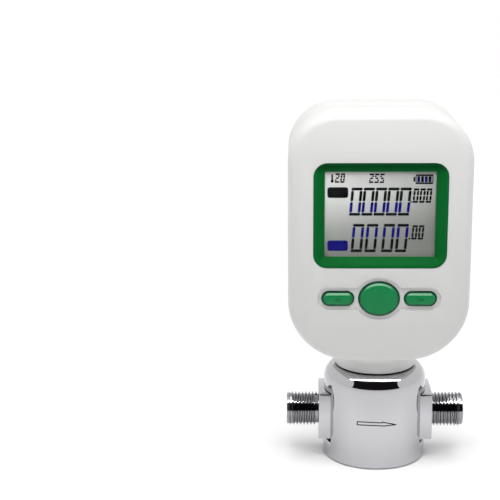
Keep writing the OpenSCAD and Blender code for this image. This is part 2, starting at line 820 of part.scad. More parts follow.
module door_screw_places()
    for (s = [-1, 1]) translate([0, bay_z + s * door_screw_up]) children();

module rear_shell() color("whitesmoke") difference() {
    union() {
        difference() {
            intersection() {
                case_solid(0);
                half_space(parting_y + seat_gap, 2 * case_back);
            }
            case_solid(case_wall);
        }
        slab(bay_front_y, case_back - case_wall + boss_sink) translate([0, bay_z])
            square([2 * (bay_half_w + bay_wall), bay_h + 2 * bay_wall], center = true);
        for (p = case_screw_places)
            rod(p, rear_boss_r, parting_y + seat_gap, case_back - case_wall + boss_sink);
        slab(door_ledge_y - shell_boss_h, case_back - case_wall + boss_sink)
            door_screw_places() circle(r = shell_boss_r);
    }
    slab(bay_floor_y, case_back + overrun) translate([0, bay_z])
        square([2 * bay_half_w, bay_h], center = true);
    slab(door_ledge_y, case_back + overrun) door_outline(door_play);
    slab(door_ledge_y - door_boss_h - door_boss_play, case_back)
        door_screw_places() circle(r = door_boss_r + door_boss_play);
    slab(door_ledge_y - shell_boss_h - overrun, case_back)
        door_screw_places() circle(r = door_screw_r + slip_fit);
    for (p = case_screw_places) {
        rod(p, case_screw_r + screw_play, parting_y - overrun, case_back);
        rod(p, case_well_r, parting_y + case_screw_seat, case_back + overrun);
    }
    translate([0, 0, neck_z - overrun])
        cylinder(r = neck_r + neck_notch_gap, h = neck_ring_z + neck_notch_gap + overrun - neck_z);
    slab(parting_y - overrun, parting_y + seal_depth) difference() {
        case_outline(seal_inset);
        case_outline(seal_inset + seal_w + 2 * seal_play);
    }
    for (s = [-1, 1]) translate([s * end_cell_x - terminal_w / 2 - terminal_slot,
        bay_front_y - overrun, bay_z + bay_h / 2 - contact_t - 2 * terminal_slot])
        cube([terminal_w + 2 * terminal_slot, 2 * overrun + bay_wall,
            contact_t + 2 * terminal_slot]);
}

module case_seal() color("dimgray") difference() {
    slab(parting_y + seal_play, parting_y + seal_depth - seal_play) difference() {
        case_outline(seal_inset + seal_play);
        case_outline(seal_inset + seal_play + seal_w);
    }
    translate([0, 0, neck_z]) cylinder(r = neck_r + 2 * neck_notch_gap, h = neck_ring_z);
}

module case_screws() color("gray")
    for (p = case_screw_places) translate([p[0], parting_y + case_screw_seat + seat_gap, p[1]])
        rotate([-90, 0, 0]) difference() {
            screw(case_screw_head_r, case_screw_head_h, case_screw_r,
                case_screw_seat + case_screw_bite);
            translate([0, 0, case_screw_head_h / 2])
                cylinder(r = case_screw_r, h = case_screw_head_h, $fn = 6);
        }

// Display

module bezel_frame() color("seagreen") difference() {
    union() {
        slab(lip_front_y, bezel_step_y) bezel_outline(0);
        slab(bezel_step_y - bezel_lap, bezel_back_y) bezel_outline(-bezel_step_w);
    }
    hull() {
        slab(bezel_back_y, bezel_back_y + overrun) translate([0, bezel_z])
            rounded(window_w, window_h, window_r, $fn = hull_fn);
        slab(lip_front_y - seat_gap, lip_front_y)
            bezel_outline(-lip_w, $fn = hull_fn);
    }
}

module window_lens() color("aliceblue", 0.4)
    slab(lens_y, lens_y + lens_t) translate([0, bezel_z])
        square([window_w + 2 * lens_margin, window_h + 2 * lens_margin], center = true);

module lcd_glass() color("darkseagreen")
    slab(lcd_y, lcd_y + lcd_t) translate([0, lcd_z]) square([lcd_w, lcd_h], center = true);

module lcd_backlight() color("white")
    slab(light_y, light_y + light_t) translate([0, light_z])
        square([lcd_w, light_h], center = true);

module lcd_holder() color("lightgray") difference() {
    slab(lcd_y, board_y - seat_gap) translate([0, lcd_z])
        square([lcd_w + 2 * (holder_wall + holder_play), lcd_h + 2 * (holder_wall + holder_play)],
            center = true);
    slab(lcd_y - overrun, holder_floor_y) translate([0, lcd_z])
        square([lcd_w + 2 * holder_play, lcd_h + 2 * holder_play], center = true);
    slab(holder_floor_y + holder_floor_t, board_y + overrun) translate([0, lcd_z])
        square([lcd_w - holder_wall, lcd_h - holder_wall], center = true);
    slab(holder_floor_y - overrun, board_y) translate([0, strip_z])
        square([strip_w + 2 * holder_play, strip_h + 2 * holder_play], center = true);
}

module lcd_connector() color("hotpink")
    slab(lcd_y + lcd_t + seat_gap, board_y - seat_gap) translate([0, strip_z])
        square([strip_w, strip_h], center = true);

// Keys: a cap with a narrower front, a retaining flange and a stem

module key_cap(x) {
    slab(key_front_y + key_rim_t, key_flange_y + key_flange_t / 2) children(0);
    slab(key_front_y, key_front_y + 2 * key_rim_t) children(1);
    slab(key_flange_y, key_flange_y + key_flange_t) children(2);
    rod([x, keys_z], key_stem_r, key_flange_y + key_flange_t / 2, plunger_y - seat_gap);
}

module side_key(x) key_cap(x) {
    translate([x, keys_z]) pill(side_key_w, side_key_h);
    translate([x, keys_z]) pill(side_key_w - 2 * key_rim_w, side_key_h - 2 * key_rim_w);
    translate([x, keys_z]) rounded(side_key_w, side_key_h + 2 * key_flange_w, side_key_h / 2);
}

module up_button() color("mediumseagreen") side_key(-side_key_x);

module down_button() color("mediumseagreen") side_key(side_key_x);

module function_button() color("mediumseagreen") key_cap(0) {
    translate([0, keys_z]) ellipse(function_key_w, function_key_h);
    translate([0, keys_z]) ellipse(function_key_w - 2 * key_rim_w, function_key_h - 2 * key_rim_w);
    translate([0, keys_z]) ellipse(function_key_w, function_key_h + 2 * key_flange_w);
}

module plunger(x)
    rod([x, keys_z], plunger_r, plunger_y, switch_y + plunger_depth);

module up_plunger() color("black") plunger(-side_key_x);

module function_plunger() color("black") plunger(0);

module down_plunger() color("black") plunger(side_key_x);

module tact_switches() color("darkgray")
    for (x = key_x) difference() {
        slab(switch_y, board_y - seat_gap) translate([x, keys_z])
            square([switch_w, switch_w], center = true);
        rod([x, keys_z], plunger_bore_r, switch_y - overrun, switch_y + plunger_bore_depth);
    }

// Main board

module main_board() color("green") difference() {
    slab(board_y, board_back_y - seat_gap) translate([0, board_z + board_h / 2])
        rounded(board_w, board_h, board_corner_r);
    for (p = board_screw_places)
        rod(p, board_screw_r + 2 * slip_fit, board_y - overrun, board_back_y + overrun);
}

module chip(c, height)
    translate([(c[0] - c[2] / 2) * board_w, board_back_y, board_z + (c[1] - c[3] / 2) * board_h])
        cube([c[2] * board_w, height, c[3] * board_h]);

chip_height = 1.2;
can_height = 3;
// Place and size of each component as shares of the board's width and height
chip_shares = [
    [-0.21, 0.52, 0.17, 0.15], [0.1, 0.61, 0.12, 0.08], [0.28, 0.33, 0.09, 0.08]
];
can_shares = [
    [-0.03, 0.3, 0.14, 0.06], [-0.31, 0.24, 0.07, 0.09], [0.33, 0.76, 0.1, 0.06]
];

module board_components() color("dimgray") {
    for (c = chip_shares) chip(c, chip_height);
    for (c = can_shares) chip(c, can_height);
}

module main_board_screws() color("gray")
    for (p = board_screw_places) translate([p[0], board_back_y, p[1]])
        rotate([-90, 0, 0]) difference() {
            screw(board_screw_head_r, board_screw_head_h, board_screw_r,
                board_t + board_screw_bite);
            translate([0, 0, board_screw_head_h / 2])
                cylinder(r = board_screw_r, h = board_screw_head_h, $fn = 6);
        }

// Batteries: four upright cells in series, every second one upside down

module cell(i) {
    up = i % 2 == 0;
    x = i * cell_pitch - end_cell_x;
    lift = up ? contact_spring_l : 0;
    z0 = bay_z - bay_h / 2 + contact_t + 2 * seat_gap + lift + seat_gap;
    translate([x, cells_y, z0]) {
        translate([0, 0, up ? 0 : nub_l]) cylinder(r = cell_r, h = cell_l - nub_l);
        cylinder(r = nub_r, h = cell_l);
    }
}

module battery_cell_1() color("orange") cell(0);

module battery_cell_2() color("orange") cell(1);

module battery_cell_3() color("orange") cell(2);

module battery_cell_4() color("orange") cell(3);

contact_low_z = bay_z - bay_h / 2 + seat_gap;
contact_high_z = bay_z + bay_h / 2 - seat_gap - contact_t;

module link(x, w, z)
    translate([x - w / 2, cells_y - contact_w / 2, z]) cube([w, contact_w, contact_t]);

module battery_links() color("silver") {
    for (s = [-1, 1]) link(s * cell_pitch, cell_pitch + contact_w, contact_low_z);
    link(0, cell_pitch + contact_w, contact_high_z);
}

// A terminal is a contact plate with a tongue that runs forward onto the board
module battery_terminals() color("silver")
    for (s = [-1, 1]) {
        link(s * end_cell_x, contact_w, contact_high_z);
        translate([s * end_cell_x - terminal_w / 2, board_back_y, contact_high_z])
            cube([terminal_w, cells_y - board_back_y, contact_t]);
    }

// Each negative end sits on a cone spring: at the bottom for an upright cell, else at the top
module battery_springs() color("silver")
    for (i = [0:cell_count - 1]) translate([i * cell_pitch - end_cell_x, cells_y, 0])
        if (i % 2 == 0)
            translate([0, 0, contact_low_z + contact_t + seat_gap])
                cylinder(r1 = spring_base_r, r2 = spring_tip_r, h = contact_spring_l);
        else
            translate([0, 0, contact_high_z - seat_gap - contact_spring_l])
                cylinder(r1 = spring_tip_r, r2 = spring_base_r, h = contact_spring_l);

module battery_door() color("whitesmoke") difference() {
    union() {
        slab(door_in_y, case_back) door_outline(0);
        slab(door_in_y - door_boss_h, case_back - door_t / 2)
            door_screw_places() circle(r = door_boss_r);
    }
    slab(case_back - door_screw_sink - door_screw_head_h - seat_gap, case_back + overrun)
        door_screw_places() circle(r = door_well_r);
    slab(door_in_y - door_boss_h - overrun, case_back)
        door_screw_places() circle(r = door_screw_r + 2 * slip_fit);
}

module battery_door_screws() color("gray")
    for (s = [-1, 1])
        translate([0, case_back - door_screw_sink - door_screw_head_h, bay_z + s * door_screw_up])
            rotate([-90, 0, 0]) difference() {
                screw(door_screw_head_r, door_screw_head_h, door_screw_r, door_screw_l);
                translate([-door_screw_head_r, -door_slot_w / 2, door_screw_head_h / 2])
                    cube([2 * door_screw_head_r, door_slot_w, door_screw_head_h]);
            }

chrome_housing();
bottom_cover();
bottom_cover_screws();
flow_core();
inlet_adapter();
outlet_adapter();
inlet_seal();
outlet_seal();
inlet_screen();
outlet_screen();
adapter_set_screws();
sensor_gasket();
sensor_carrier();
sensor_chip();
sensor_board();
sensor_ring_nut();
sensor_ribbon();
ribbon_socket();
neck_gasket();
neck_screws();
front_shell();
rear_shell();
case_seal();
case_screws();
bezel_frame();
window_lens();
lcd_glass();
lcd_backlight();
lcd_holder();
lcd_connector();
up_button();
function_button();
down_button();
up_plunger();
function_plunger();
down_plunger();
tact_switches();
main_board();
board_components();
main_board_screws();
battery_cell_1();
battery_cell_2();
battery_cell_3();
battery_cell_4();
battery_links();
battery_terminals();
battery_springs();
battery_door();
battery_door_screws();
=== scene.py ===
# %% [markdown]
# # A gas flow meter
# The real meter is a white display head on a chrome pot. Gas runs through the pot from one
# threaded nipple to the other, and the head shows how much has passed. This notebook dresses
# the CAD model of the meter for the camera. The CAD model comes first, because every new piece
# takes its place from it.

import math

import bmesh
import bpy
from mathutils import Matrix, Vector


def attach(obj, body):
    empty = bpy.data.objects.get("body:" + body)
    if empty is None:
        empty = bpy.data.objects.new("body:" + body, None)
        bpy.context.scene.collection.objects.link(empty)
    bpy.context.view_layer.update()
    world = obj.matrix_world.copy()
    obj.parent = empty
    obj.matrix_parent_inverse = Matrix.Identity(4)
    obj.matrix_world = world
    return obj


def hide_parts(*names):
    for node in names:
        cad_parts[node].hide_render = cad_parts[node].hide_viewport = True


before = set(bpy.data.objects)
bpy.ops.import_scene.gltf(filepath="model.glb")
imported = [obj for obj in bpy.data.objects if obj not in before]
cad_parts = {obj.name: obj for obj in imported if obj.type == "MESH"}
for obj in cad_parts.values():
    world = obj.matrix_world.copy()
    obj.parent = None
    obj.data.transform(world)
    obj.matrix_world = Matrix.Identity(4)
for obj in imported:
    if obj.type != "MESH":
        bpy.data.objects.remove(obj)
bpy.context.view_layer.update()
MM = 0.001
print("CAD nodes:", len(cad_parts))

# %% [markdown]
# ## The camera
# The photograph was taken from a little above, at roughly half a metre, with a long lens. The
# camera comes first, so that every later piece can be judged from the photograph's own place.

# %% Camera
CAMERA_PLACE = (-0.0311, -0.4784, 0.2022)
CAMERA_TURN = 2.07
CAMERA_TILT = 75.86
CAMERA_ROLL = -0.47
LENS_MM = 92.66
SENSOR_MM = 36

bpy.ops.object.camera_add(location=CAMERA_PLACE)
camera = bpy.context.object
camera.name = "camera"
turn = Matrix.Rotation(math.radians(CAMERA_TURN), 4, "Z")
tilt = Matrix.Rotation(math.radians(CAMERA_TILT), 4, "X")
roll = Matrix.Rotation(math.radians(CAMERA_ROLL), 4, "Z")
camera.rotation_euler = (turn @ tilt @ roll).to_euler()
camera.data.sensor_width = SENSOR_MM
camera.data.lens = LENS_MM
bpy.context.scene.camera = camera
print("camera lens:", camera.data.lens, "mm")

# %% [markdown]
# ## Small tools for modelling
# Each piece starts as a primitive, is shaped in edit mode, and ends at the world's origin with
# its place in its mesh. These helpers open a piece, pick parts of it by their place, and close
# it again. Picking by place keeps the script readable, where indices would break at once.


# %% Open, pick and close
def leave_edit():
    """Go back to object mode with nothing selected."""
    if bpy.context.mode != "OBJECT":
        bpy.ops.object.mode_set(mode="OBJECT")
    bpy.ops.object.select_all(action="DESELECT")


def only(piece):
    leave_edit()
    piece.select_set(True)
    bpy.context.view_layer.objects.active = piece


def edit(piece):
    only(piece)
    bpy.ops.object.mode_set(mode="EDIT")
    bpy.ops.mesh.select_all(action="DESELECT")


def pick(piece, kind, test):
    """In edit mode, select the points, edges or faces that pass a test, and no others."""
    bpy.ops.mesh.select_mode(type=kind)
    bpy.ops.mesh.select_all(action="DESELECT")
    bm = bmesh.from_edit_mesh(piece.data)
    items = {"VERT": bm.verts, "EDGE": bm.edges, "FACE": bm.faces}[kind]
    found = [item for item in items if test(item)]
    for item in found:
        item.select_set(True)
    bm.select_flush_mode()
    bmesh.update_edit_mesh(piece.data)


def take(name):
    """Name the new piece and put its place, turn and size into its mesh."""
    piece = bpy.context.object
    piece.name = name
    piece.data.name = name
    bpy.ops.object.transform_apply(location=True, rotation=True, scale=True)
    return piece


print("tools ready")

# %% [markdown]
# Moulded cases, bezels, keys and doors share one form: a rounded outline that is pushed along
# Y and drawn in as it goes. A loft does that. It starts as a plane whose corners are bevelled,
# then extrudes the outline ring by ring and moves each corner's points about the corner's own
# centre. A ring is its Y and four corners, each with a centre and two radii. An oval and a
# pill keep a hair of flat between their corners, so that no two points fall together.

# %% Loft a rounded outline along Y
QUADRANTS = [(1, 1), (-1, 1), (-1, -1), (1, -1)]
FLAT = 0.0001


def rounded(w, h, r, x=0.0, z=0.0):
    return [(x + sx * (w / 2 - r), z + sz * (h / 2 - r), r, r) for sx, sz in QUADRANTS]


def oval(w, h, x, z):
    return [(x + sx * FLAT / 2, z + sz * FLAT / 2, (w - FLAT) / 2, (h - FLAT) / 2)
            for sx, sz in QUADRANTS]


def pill(w, h, x, z):
    return rounded(w, h, (h - FLAT) / 2, x, z)


def move_corners(piece, ring, old, new, shift):
    """Carry the corner points of a ring from the old corners to the new ones."""
    mid_x = sum(c[0] for c in old) / 4
    mid_z = (old[0][1] + old[2][1]) / 2
    for (sx, sz), a, b in zip(QUADRANTS, old, new):
        pick(piece, "VERT", lambda v: v.index in ring and sx * (v.co.x - mid_x) > 0
             and sz * (v.co.z - mid_z) > 0)
        bpy.ops.transform.translate(value=(b[0] - a[0], shift, b[1] - a[1]))
        bm = bmesh.from_edit_mesh(piece.data)
        y = next(v.co.y for v in bm.verts if v.select)
        bpy.ops.transform.resize(
            value=(b[2] / a[2], 1, b[3] / a[3]), center_override=(b[0], y, b[1]))
    pick(piece, "VERT", lambda v: v.index in ring)


def first_outline(name, y, corners, steps):
    """A plane whose corners are bevelled round and then stretched to their second radius."""
    round_ones = [(x, z, rx, rx) for x, z, rx, _ in corners]
    left = min(c[0] - c[2] for c in round_ones)
    right = max(c[0] + c[2] for c in round_ones)
    low = min(c[1] - c[2] for c in round_ones)
    high = max(c[1] + c[2] for c in round_ones)
    leave_edit()
    bpy.ops.mesh.primitive_plane_add(
        size=1, location=((left + right) / 2, y, (low + high) / 2),
        rotation=(math.pi / 2, 0, 0))
    bpy.context.object.scale = (right - left, high - low, 1)
    piece = take(name)
    edit(piece)
    mid_x = (left + right) / 2
    mid_z = (low + high) / 2
    for (sx, sz), c in zip(QUADRANTS, round_ones):
        pick(piece, "VERT", lambda v: sx * (v.co.x - mid_x) > 0.99 * abs(right - mid_x)
             and sz * (v.co.z - mid_z) > 0.99 * abs(high - mid_z))
        bpy.ops.mesh.bevel(offset=c[2], segments=steps, affect="VERTICES")
    bm = bmesh.from_edit_mesh(piece.data)
    ring = {v.index for v in bm.verts}
    move_corners(piece, ring, round_ones, corners, 0)
    return piece


def lofted(name, rings, steps=8, hole=False):
    """Push the outline from ring to ring. With a hole, join the last ring to the first."""
    piece = first_outline(name, rings[0][0], rings[0][1], steps)
    for (y0, old), (y1, new) in zip(rings, rings[1:]):
        bpy.ops.mesh.extrude_region_move()
        bm = bmesh.from_edit_mesh(piece.data)
        bm.verts.index_update()
        ring = {v.index for v in bm.verts if v.select}
        move_corners(piece, ring, old, new, y1 - y0)
    if hole:
        pick(piece, "FACE", lambda f: len(f.verts) > 4 * steps)
        bpy.ops.mesh.delete(type="ONLY_FACE")
        bpy.ops.mesh.select_mode(type="EDGE")
        bpy.ops.mesh.select_non_manifold()
        bpy.ops.mesh.bridge_edge_loops()
    bpy.ops.mesh.select_all(action="SELECT")
    bpy.ops.mesh.normals_make_consistent(inside=False)
    leave_edit()
    return piece


print("loft ready")

# %% [markdown]
# Holes, wells and pockets are cut with a second solid, as a milling cutter would. Every sharp
# edge then gets a small bevel, because no moulded or turned edge is perfectly sharp, and the
# bevel is what catches the light.


# %% Cutters, bevels and smoothing
def box(name, low, high):
    leave_edit()
    middle = [(a + b) / 2 for a, b in zip(low, high)]
    bpy.ops.mesh.primitive_cube_add(size=1, location=middle)
    bpy.context.object.scale = [b - a for a, b in zip(low, high)]
    return take(name)


def rod(name, r, start, end, sides=48):
    leave_edit()
    start, end = Vector(start), Vector(end)
    along = end - start
    bpy.ops.mesh.primitive_cylinder_add(
        vertices=sides, radius=r, depth=along.length, location=(start + end) / 2,
        rotation=along.to_track_quat("Z", "Y").to_euler())
    return take(name)


def combine(piece, tool, way="DIFFERENCE"):
    only(piece)
    cutter = piece.modifiers.new("cut", "BOOLEAN")
    cutter.operation = way
    cutter.solver = "EXACT"
    cutter.object = tool
    bpy.ops.object.modifier_apply(modifier=cutter.name)
    bpy.data.objects.remove(tool)
    return piece


def soften(piece, width, segments=2, angle=32):
    only(piece)
    bevel = piece.modifiers.new("soften", "BEVEL")
    bevel.width = width
    bevel.segments = segments
    bevel.limit_method = "ANGLE"
    bevel.angle_limit = math.radians(angle)
    bevel.use_clamp_overlap = True
    bpy.ops.object.modifier_apply(modifier=bevel.name)


def post(shell, r, place, start_y, end_y):
    """Add a round post along Y at a place given as X and Z."""
    x, z = place
    combine(shell, rod("post", r, (x, start_y, z), (x, end_y, z), 32), "UNION")


def hole(shell, r, place, start_y, end_y, sides=24):
    """Drill a round hole along Y at a place given as X and Z."""
    x, z = place
    combine(shell, rod("hole", r, (x, start_y, z), (x, end_y, z), sides))


def smooth(piece, angle=35):
    only(piece)
    bpy.ops.object.shade_smooth_by_angle(angle=math.radians(angle))
    return piece


def join(name, pieces):
    leave_edit()
    for piece in pieces:
        piece.select_set(True)
    bpy.context.view_layer.objects.active = pieces[0]
    bpy.ops.object.join()
    return take(name)


print("cutters ready")

# %% [markdown]
# ## The case
# The head is two white shells, moulded with large round corners and a soft front edge. Both
# come from the same loft: the outside, and the inside drawn in by the wall. Subtracting one
# from the other gives a real wall, which shows at the openings.

# %% Sizes of the case
CASE_HALF_W = 33.8 * MM
CASE_LOW_Z = 43 * MM
CASE_TOP_Z = 137 * MM
HIGH_R = 18.5 * MM
LOW_R = 23.3 * MM
FRONT_Y = -20 * MM
BACK_Y = 20.7 * MM
PARTING_Y = 1.5 * MM
WALL = 2.3 * MM
SEAT = 0.05 * MM
FRONT_EDGE = (4.3 * MM, 4 * MM, 3.2 * MM, 4.6 * MM)
BACK_EDGE = (2.6 * MM, 2.6 * MM, 2.6 * MM, 2.6 * MM)


def case_corners(side, high, low):
    """The case's outline, drawn in by its own amount at the sides, the top and the bottom."""
    upper = (HIGH_R, CASE_TOP_Z - HIGH_R, high)
    lower = (LOW_R, CASE_LOW_Z + LOW_R, low)
    corners = []
    for sx, sz in QUADRANTS:
        r, z, trim = upper if sz > 0 else lower
        corners.append((sx * (CASE_HALF_W - r), z, r - side, r - trim))
    return corners


def case_rings(start_y, end_y, inset, depth, side, high, low, steps):
    """Rings from the parting plane to a face. Its round edge reaches back by the depth and
    in by its own width at the sides, the top and the bottom."""
    way = 1 if end_y > start_y else -1
    rings = [(start_y, case_corners(inset, inset, inset))]
    for i in range(steps + 1):
        a = math.radians(90 * i / steps)
        back = (depth - inset / 2) * (1 - math.sin(a))
        draw = 1 - math.cos(a)
        rings.append((end_y - way * (inset + back), case_corners(
            inset + draw * (side - inset / 2), inset + draw * (high - inset / 2),
            inset + draw * (low - inset / 2))))
    return rings


def case_half(name, start_y, end_y, inset, steps, corner_steps):
    edge = FRONT_EDGE if end_y < 0 else BACK_EDGE
    rings = case_rings(start_y, end_y, inset, *edge, steps)
    return lofted(name, rings, corner_steps)


front_shell = case_half("white_front_shell", PARTING_Y, FRONT_Y, 0, 8, 16)
print("front shell outside:", len(front_shell.data.polygons), "faces")

# %% [markdown]
# The neck is part of the front shell. It grows out of the case's underside and stands on the
# pot. Its front leans forward as it rises, so that the face flows down into it without a step.
# Each ring of the cylinder is therefore stretched forwards a little more than the one below.
# The list of the lean gives each ring's height and its stretch.

# %% Neck
NECK_R = 15.5 * MM
NECK_LOW_Z = 36.95 * MM
NECK_TOP_Z = 47.3 * MM
NECK_LEAN = [(40.2, 1.0), (41.2, 1.015), (42, 1.045), (42.8, 1.085), (43.6, 1.125), (44.6, 1.155)]


def at_height(v, z):
    return abs(v.co.z - z) < 0.001 * MM


def rim(piece, z):
    """Select the edges that lie flat at a height."""
    pick(piece, "EDGE", lambda e: all(at_height(v, z) for v in e.verts))


def slice_at(point, normal):
    bpy.ops.mesh.select_all(action="SELECT")
    bpy.ops.mesh.bisect(plane_co=point, plane_no=normal)


neck = rod("neck", NECK_R, (0, 0, NECK_LOW_Z), (0, 0, NECK_TOP_Z), 96)
edit(neck)
for z, lean in NECK_LEAN:
    slice_at((0, 0, z * MM), (0, 0, 1))
heights = [(z * MM, lean) for z, lean in NECK_LEAN] + [(NECK_TOP_Z, NECK_LEAN[-1][1])]
for z, lean in heights:
    pick(neck, "VERT", lambda v: at_height(v, z) and v.co.y < 0)
    bpy.ops.transform.resize(value=(1, lean, 1), center_override=(0, 0, z))
rim(neck, NECK_LOW_Z)
bpy.ops.mesh.bevel(offset=0.25 * MM, segments=2, affect="EDGES")
leave_edit()
print("neck:", len(neck.data.polygons), "faces")

# %% [markdown]
# The shell is hollowed with the drawn-in loft. The neck and the screw posts are added after
# that, so that they stand in the hollow, and their holes are drilled last. The sensor's lead
# comes up through the neck, which is bored out for it.

# %% Hollow, posts and holes of the front shell
SCREWS = [(x * MM, z * MM) for x, z in [(-14, 129.5), (14, 129.5), (-20, 55), (20, 55)]]
BOARD_SCREWS = [(x * MM, z * MM) for x in (-26, 26) for z in (61.9, 122.4)]
BOARD_Y = -8 * MM
POST_FOOT_Y = FRONT_Y + WALL - 0.5 * MM
LEAD_R = 6 * MM

combine(front_shell, case_half("hollow", PARTING_Y + MM, FRONT_Y, WALL, 5, 10))
combine(front_shell, neck, "UNION")
for place in SCREWS:
    post(front_shell, 3.5 * MM, place, POST_FOOT_Y, PARTING_Y)
for place in BOARD_SCREWS:
    post(front_shell, 2.3 * MM, place, POST_FOOT_Y, BOARD_Y - SEAT)
combine(front_shell, rod("well", 13 * MM, (0, 0, 39.45 * MM), (0, 0, 50 * MM), 64))
combine(front_shell, rod("lead_hole", LEAD_R, (0, 0, 30 * MM), (0, 0, 42 * MM)))
for place in SCREWS:
    hole(front_shell, 1.5 * MM, place, -9.1 * MM, 3 * MM)
for place in BOARD_SCREWS:
    hole(front_shell, 1.2 * MM, place, -13.6 * MM, -6 * MM)
print("front shell with neck:", len(front_shell.data.polygons), "faces")

# %% [markdown]
# The front face has a stepped opening for the display's bezel, and a shallow recess round the
# three keys with soft, sloping walls. The slope comes from a cutter that is wider at the front.

# %% Openings in the front face
BEZEL_Z = 99.3 * MM
BEZEL_W = 48.7 * MM
BEZEL_H = 39 * MM
KEYS_Z = 67.9 * MM
SIDE_KEY_X = 15.25 * MM
RECESS_DEPTH = 0.95 * MM
RECESS_SLOPE = 0.4 * MM
BEZEL_PLAY = 0.15 * MM
BEZEL_SHELF = 1.45 * MM
SHELF_Y = -18.25 * MM
THROUGH_Y = -15 * MM


def bezel_ring(y, grow):
    """The bezel's outline at a depth, grown on all sides."""
    r = 5 * MM + grow
    return y, rounded(BEZEL_W + 2 * grow, BEZEL_H + 2 * grow, r, 0, BEZEL_Z)


def sloped(name, outline, w, h):
    """A cutter for the key recess: its wall leans outwards at the front face."""
    bottom = outline(w, h, 0, KEYS_Z)
    front = outline(w + RECESS_SLOPE, h + RECESS_SLOPE, 0, KEYS_Z)
    rings = [(FRONT_Y + RECESS_DEPTH, bottom), (FRONT_Y, front), (FRONT_Y - MM, front)]
    return lofted(name, rings, 14)


combine(front_shell, lofted("opening", [bezel_ring(FRONT_Y - MM, BEZEL_PLAY),
                                        bezel_ring(SHELF_Y, BEZEL_PLAY)]))
combine(front_shell, lofted("opening", [bezel_ring(FRONT_Y, -BEZEL_SHELF),
                                        bezel_ring(THROUGH_Y, -BEZEL_SHELF)]))
recess = sloped("recess", oval, 18 * MM, 15.9 * MM)
combine(recess, sloped("recess_2", pill, 45.3 * MM, 8.35 * MM), "UNION")
combine(front_shell, recess)
for x, w, h, outline in [(0, 15.5, 13.4, oval), (-SIDE_KEY_X, 12.3, 5.85, pill),
                         (SIDE_KEY_X, 12.3, 5.85, pill)]:
    shape = outline(w * MM, h * MM, x, KEYS_Z)
    combine(front_shell, lofted("key_hole", [(FRONT_Y, shape), (THROUGH_Y, shape)], 12))
soften(front_shell, 0.22 * MM)
smooth(front_shell)
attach(front_shell, "meter")
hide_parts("front_shell")
print("front shell:", len(front_shell.data.polygons), "faces")

# %% [markdown]
# The battery door has a lug at its top and its bottom. Its outline is a rectangle whose middle
# quarter is pulled out at both ends. So a plain slab is sliced twice, the strip between the cuts
# is extruded up and down, and the eight outer corners are rounded. The same shape, a little
# larger, cuts the door's rebate in the rear shell.

# %% Slab with two lugs
BAY_Z = 91.4 * MM
BAY_HALF_W = 29.65 * MM
BAY_HALF_H = 28.2 * MM
BAY_FLOOR_Y = 3.45 * MM
BAY_WALL = 1.2 * MM
LEDGE_Y = 19 * MM
DOOR_SCREWS = [(0, 57.4 * MM), (0, 125.4 * MM)]
BEHIND = BACK_Y + MM
DOOR_HALF_W = 30.45 * MM
DOOR_HALF_H = 29.3 * MM
DOOR_CORNER_R = 4 * MM
LUG_HALF_W = 8 * MM
LUG_END = 37.9 * MM


def lugged_slab(name, y0, y1, grow):
    half_w = DOOR_HALF_W + grow
    half_h = DOOR_HALF_H + grow
    lug = LUG_HALF_W + grow
    slab = box(name, (-half_w, y0, BAY_Z - half_h), (half_w, y1, BAY_Z + half_h))
    edit(slab)
    for side in (-1, 1):
        slice_at((side * lug, 0, 0), (1, 0, 0))
    for side in (-1, 1):
        pick(slab, "FACE", lambda f: side * f.normal.z > 0.9
             and abs(f.calc_center_median().x) < lug)
        bpy.ops.mesh.extrude_region_move()
        bpy.ops.transform.translate(value=(0, 0, side * (LUG_END + grow - half_h)))
    pick(slab, "EDGE", lambda e: e.calc_length() > 0.9 * (y1 - y0)
         and abs(e.verts[0].co.y - e.verts[1].co.y) > 0.9 * (y1 - y0)
         and (abs(e.verts[0].co.x) > 0.99 * half_w
              or abs(e.verts[0].co.z - BAY_Z) > 0.99 * (LUG_END + grow)))
    bpy.ops.mesh.bevel(offset=DOOR_CORNER_R + grow, segments=8, affect="EDGES")
    leave_edit()
    return slab


# %% [markdown]
# The rear shell is hollowed like the front one. The battery tray and the screw posts are added
# inside, and the bay, the rebate and the deep screw wells are cut from behind. A notch in the
# bottom edge lets the neck through.

# %% Rear shell
rear_shell = case_half("white_rear_shell", PARTING_Y + SEAT, BACK_Y, 0, 6, 16)
combine(rear_shell, case_half("hollow", PARTING_Y - MM, BACK_Y, WALL, 4, 10))
WALL_BACK_Y = BACK_Y - WALL + 0.5 * MM
REAR_POST_R = 4.2 * MM
tray_w = BAY_HALF_W + BAY_WALL
tray_h = BAY_HALF_H + BAY_WALL
combine(rear_shell, box("tray", (-tray_w, BAY_FLOOR_Y - BAY_WALL, BAY_Z - tray_h),
                        (tray_w, WALL_BACK_Y, BAY_Z + tray_h)), "UNION")
for place in SCREWS:
    post(rear_shell, REAR_POST_R, place, PARTING_Y + SEAT, WALL_BACK_Y)
for place in DOOR_SCREWS:
    post(rear_shell, REAR_POST_R, place, 11.5 * MM, WALL_BACK_Y)
combine(rear_shell, box("bay", (-BAY_HALF_W, BAY_FLOOR_Y, BAY_Z - BAY_HALF_H),
                        (BAY_HALF_W, BEHIND, BAY_Z + BAY_HALF_H)))
combine(rear_shell, lugged_slab("rebate", LEDGE_Y, BEHIND, 0.3 * MM))
for place in SCREWS:
    hole(rear_shell, 3 * MM, place, 6 * MM, BEHIND, 32)
    hole(rear_shell, 1.65 * MM, place, 0, 8 * MM)
for place in DOOR_SCREWS:
    hole(rear_shell, 3.4 * MM, place, 16.8 * MM, BEHIND, 32)
    hole(rear_shell, 1.35 * MM, place, 10 * MM, 18 * MM)
combine(rear_shell, rod("notch", 15.7 * MM, (0, 0, 35 * MM), (0, 0, 47.5 * MM), 96))
soften(rear_shell, 0.22 * MM)
smooth(rear_shell)
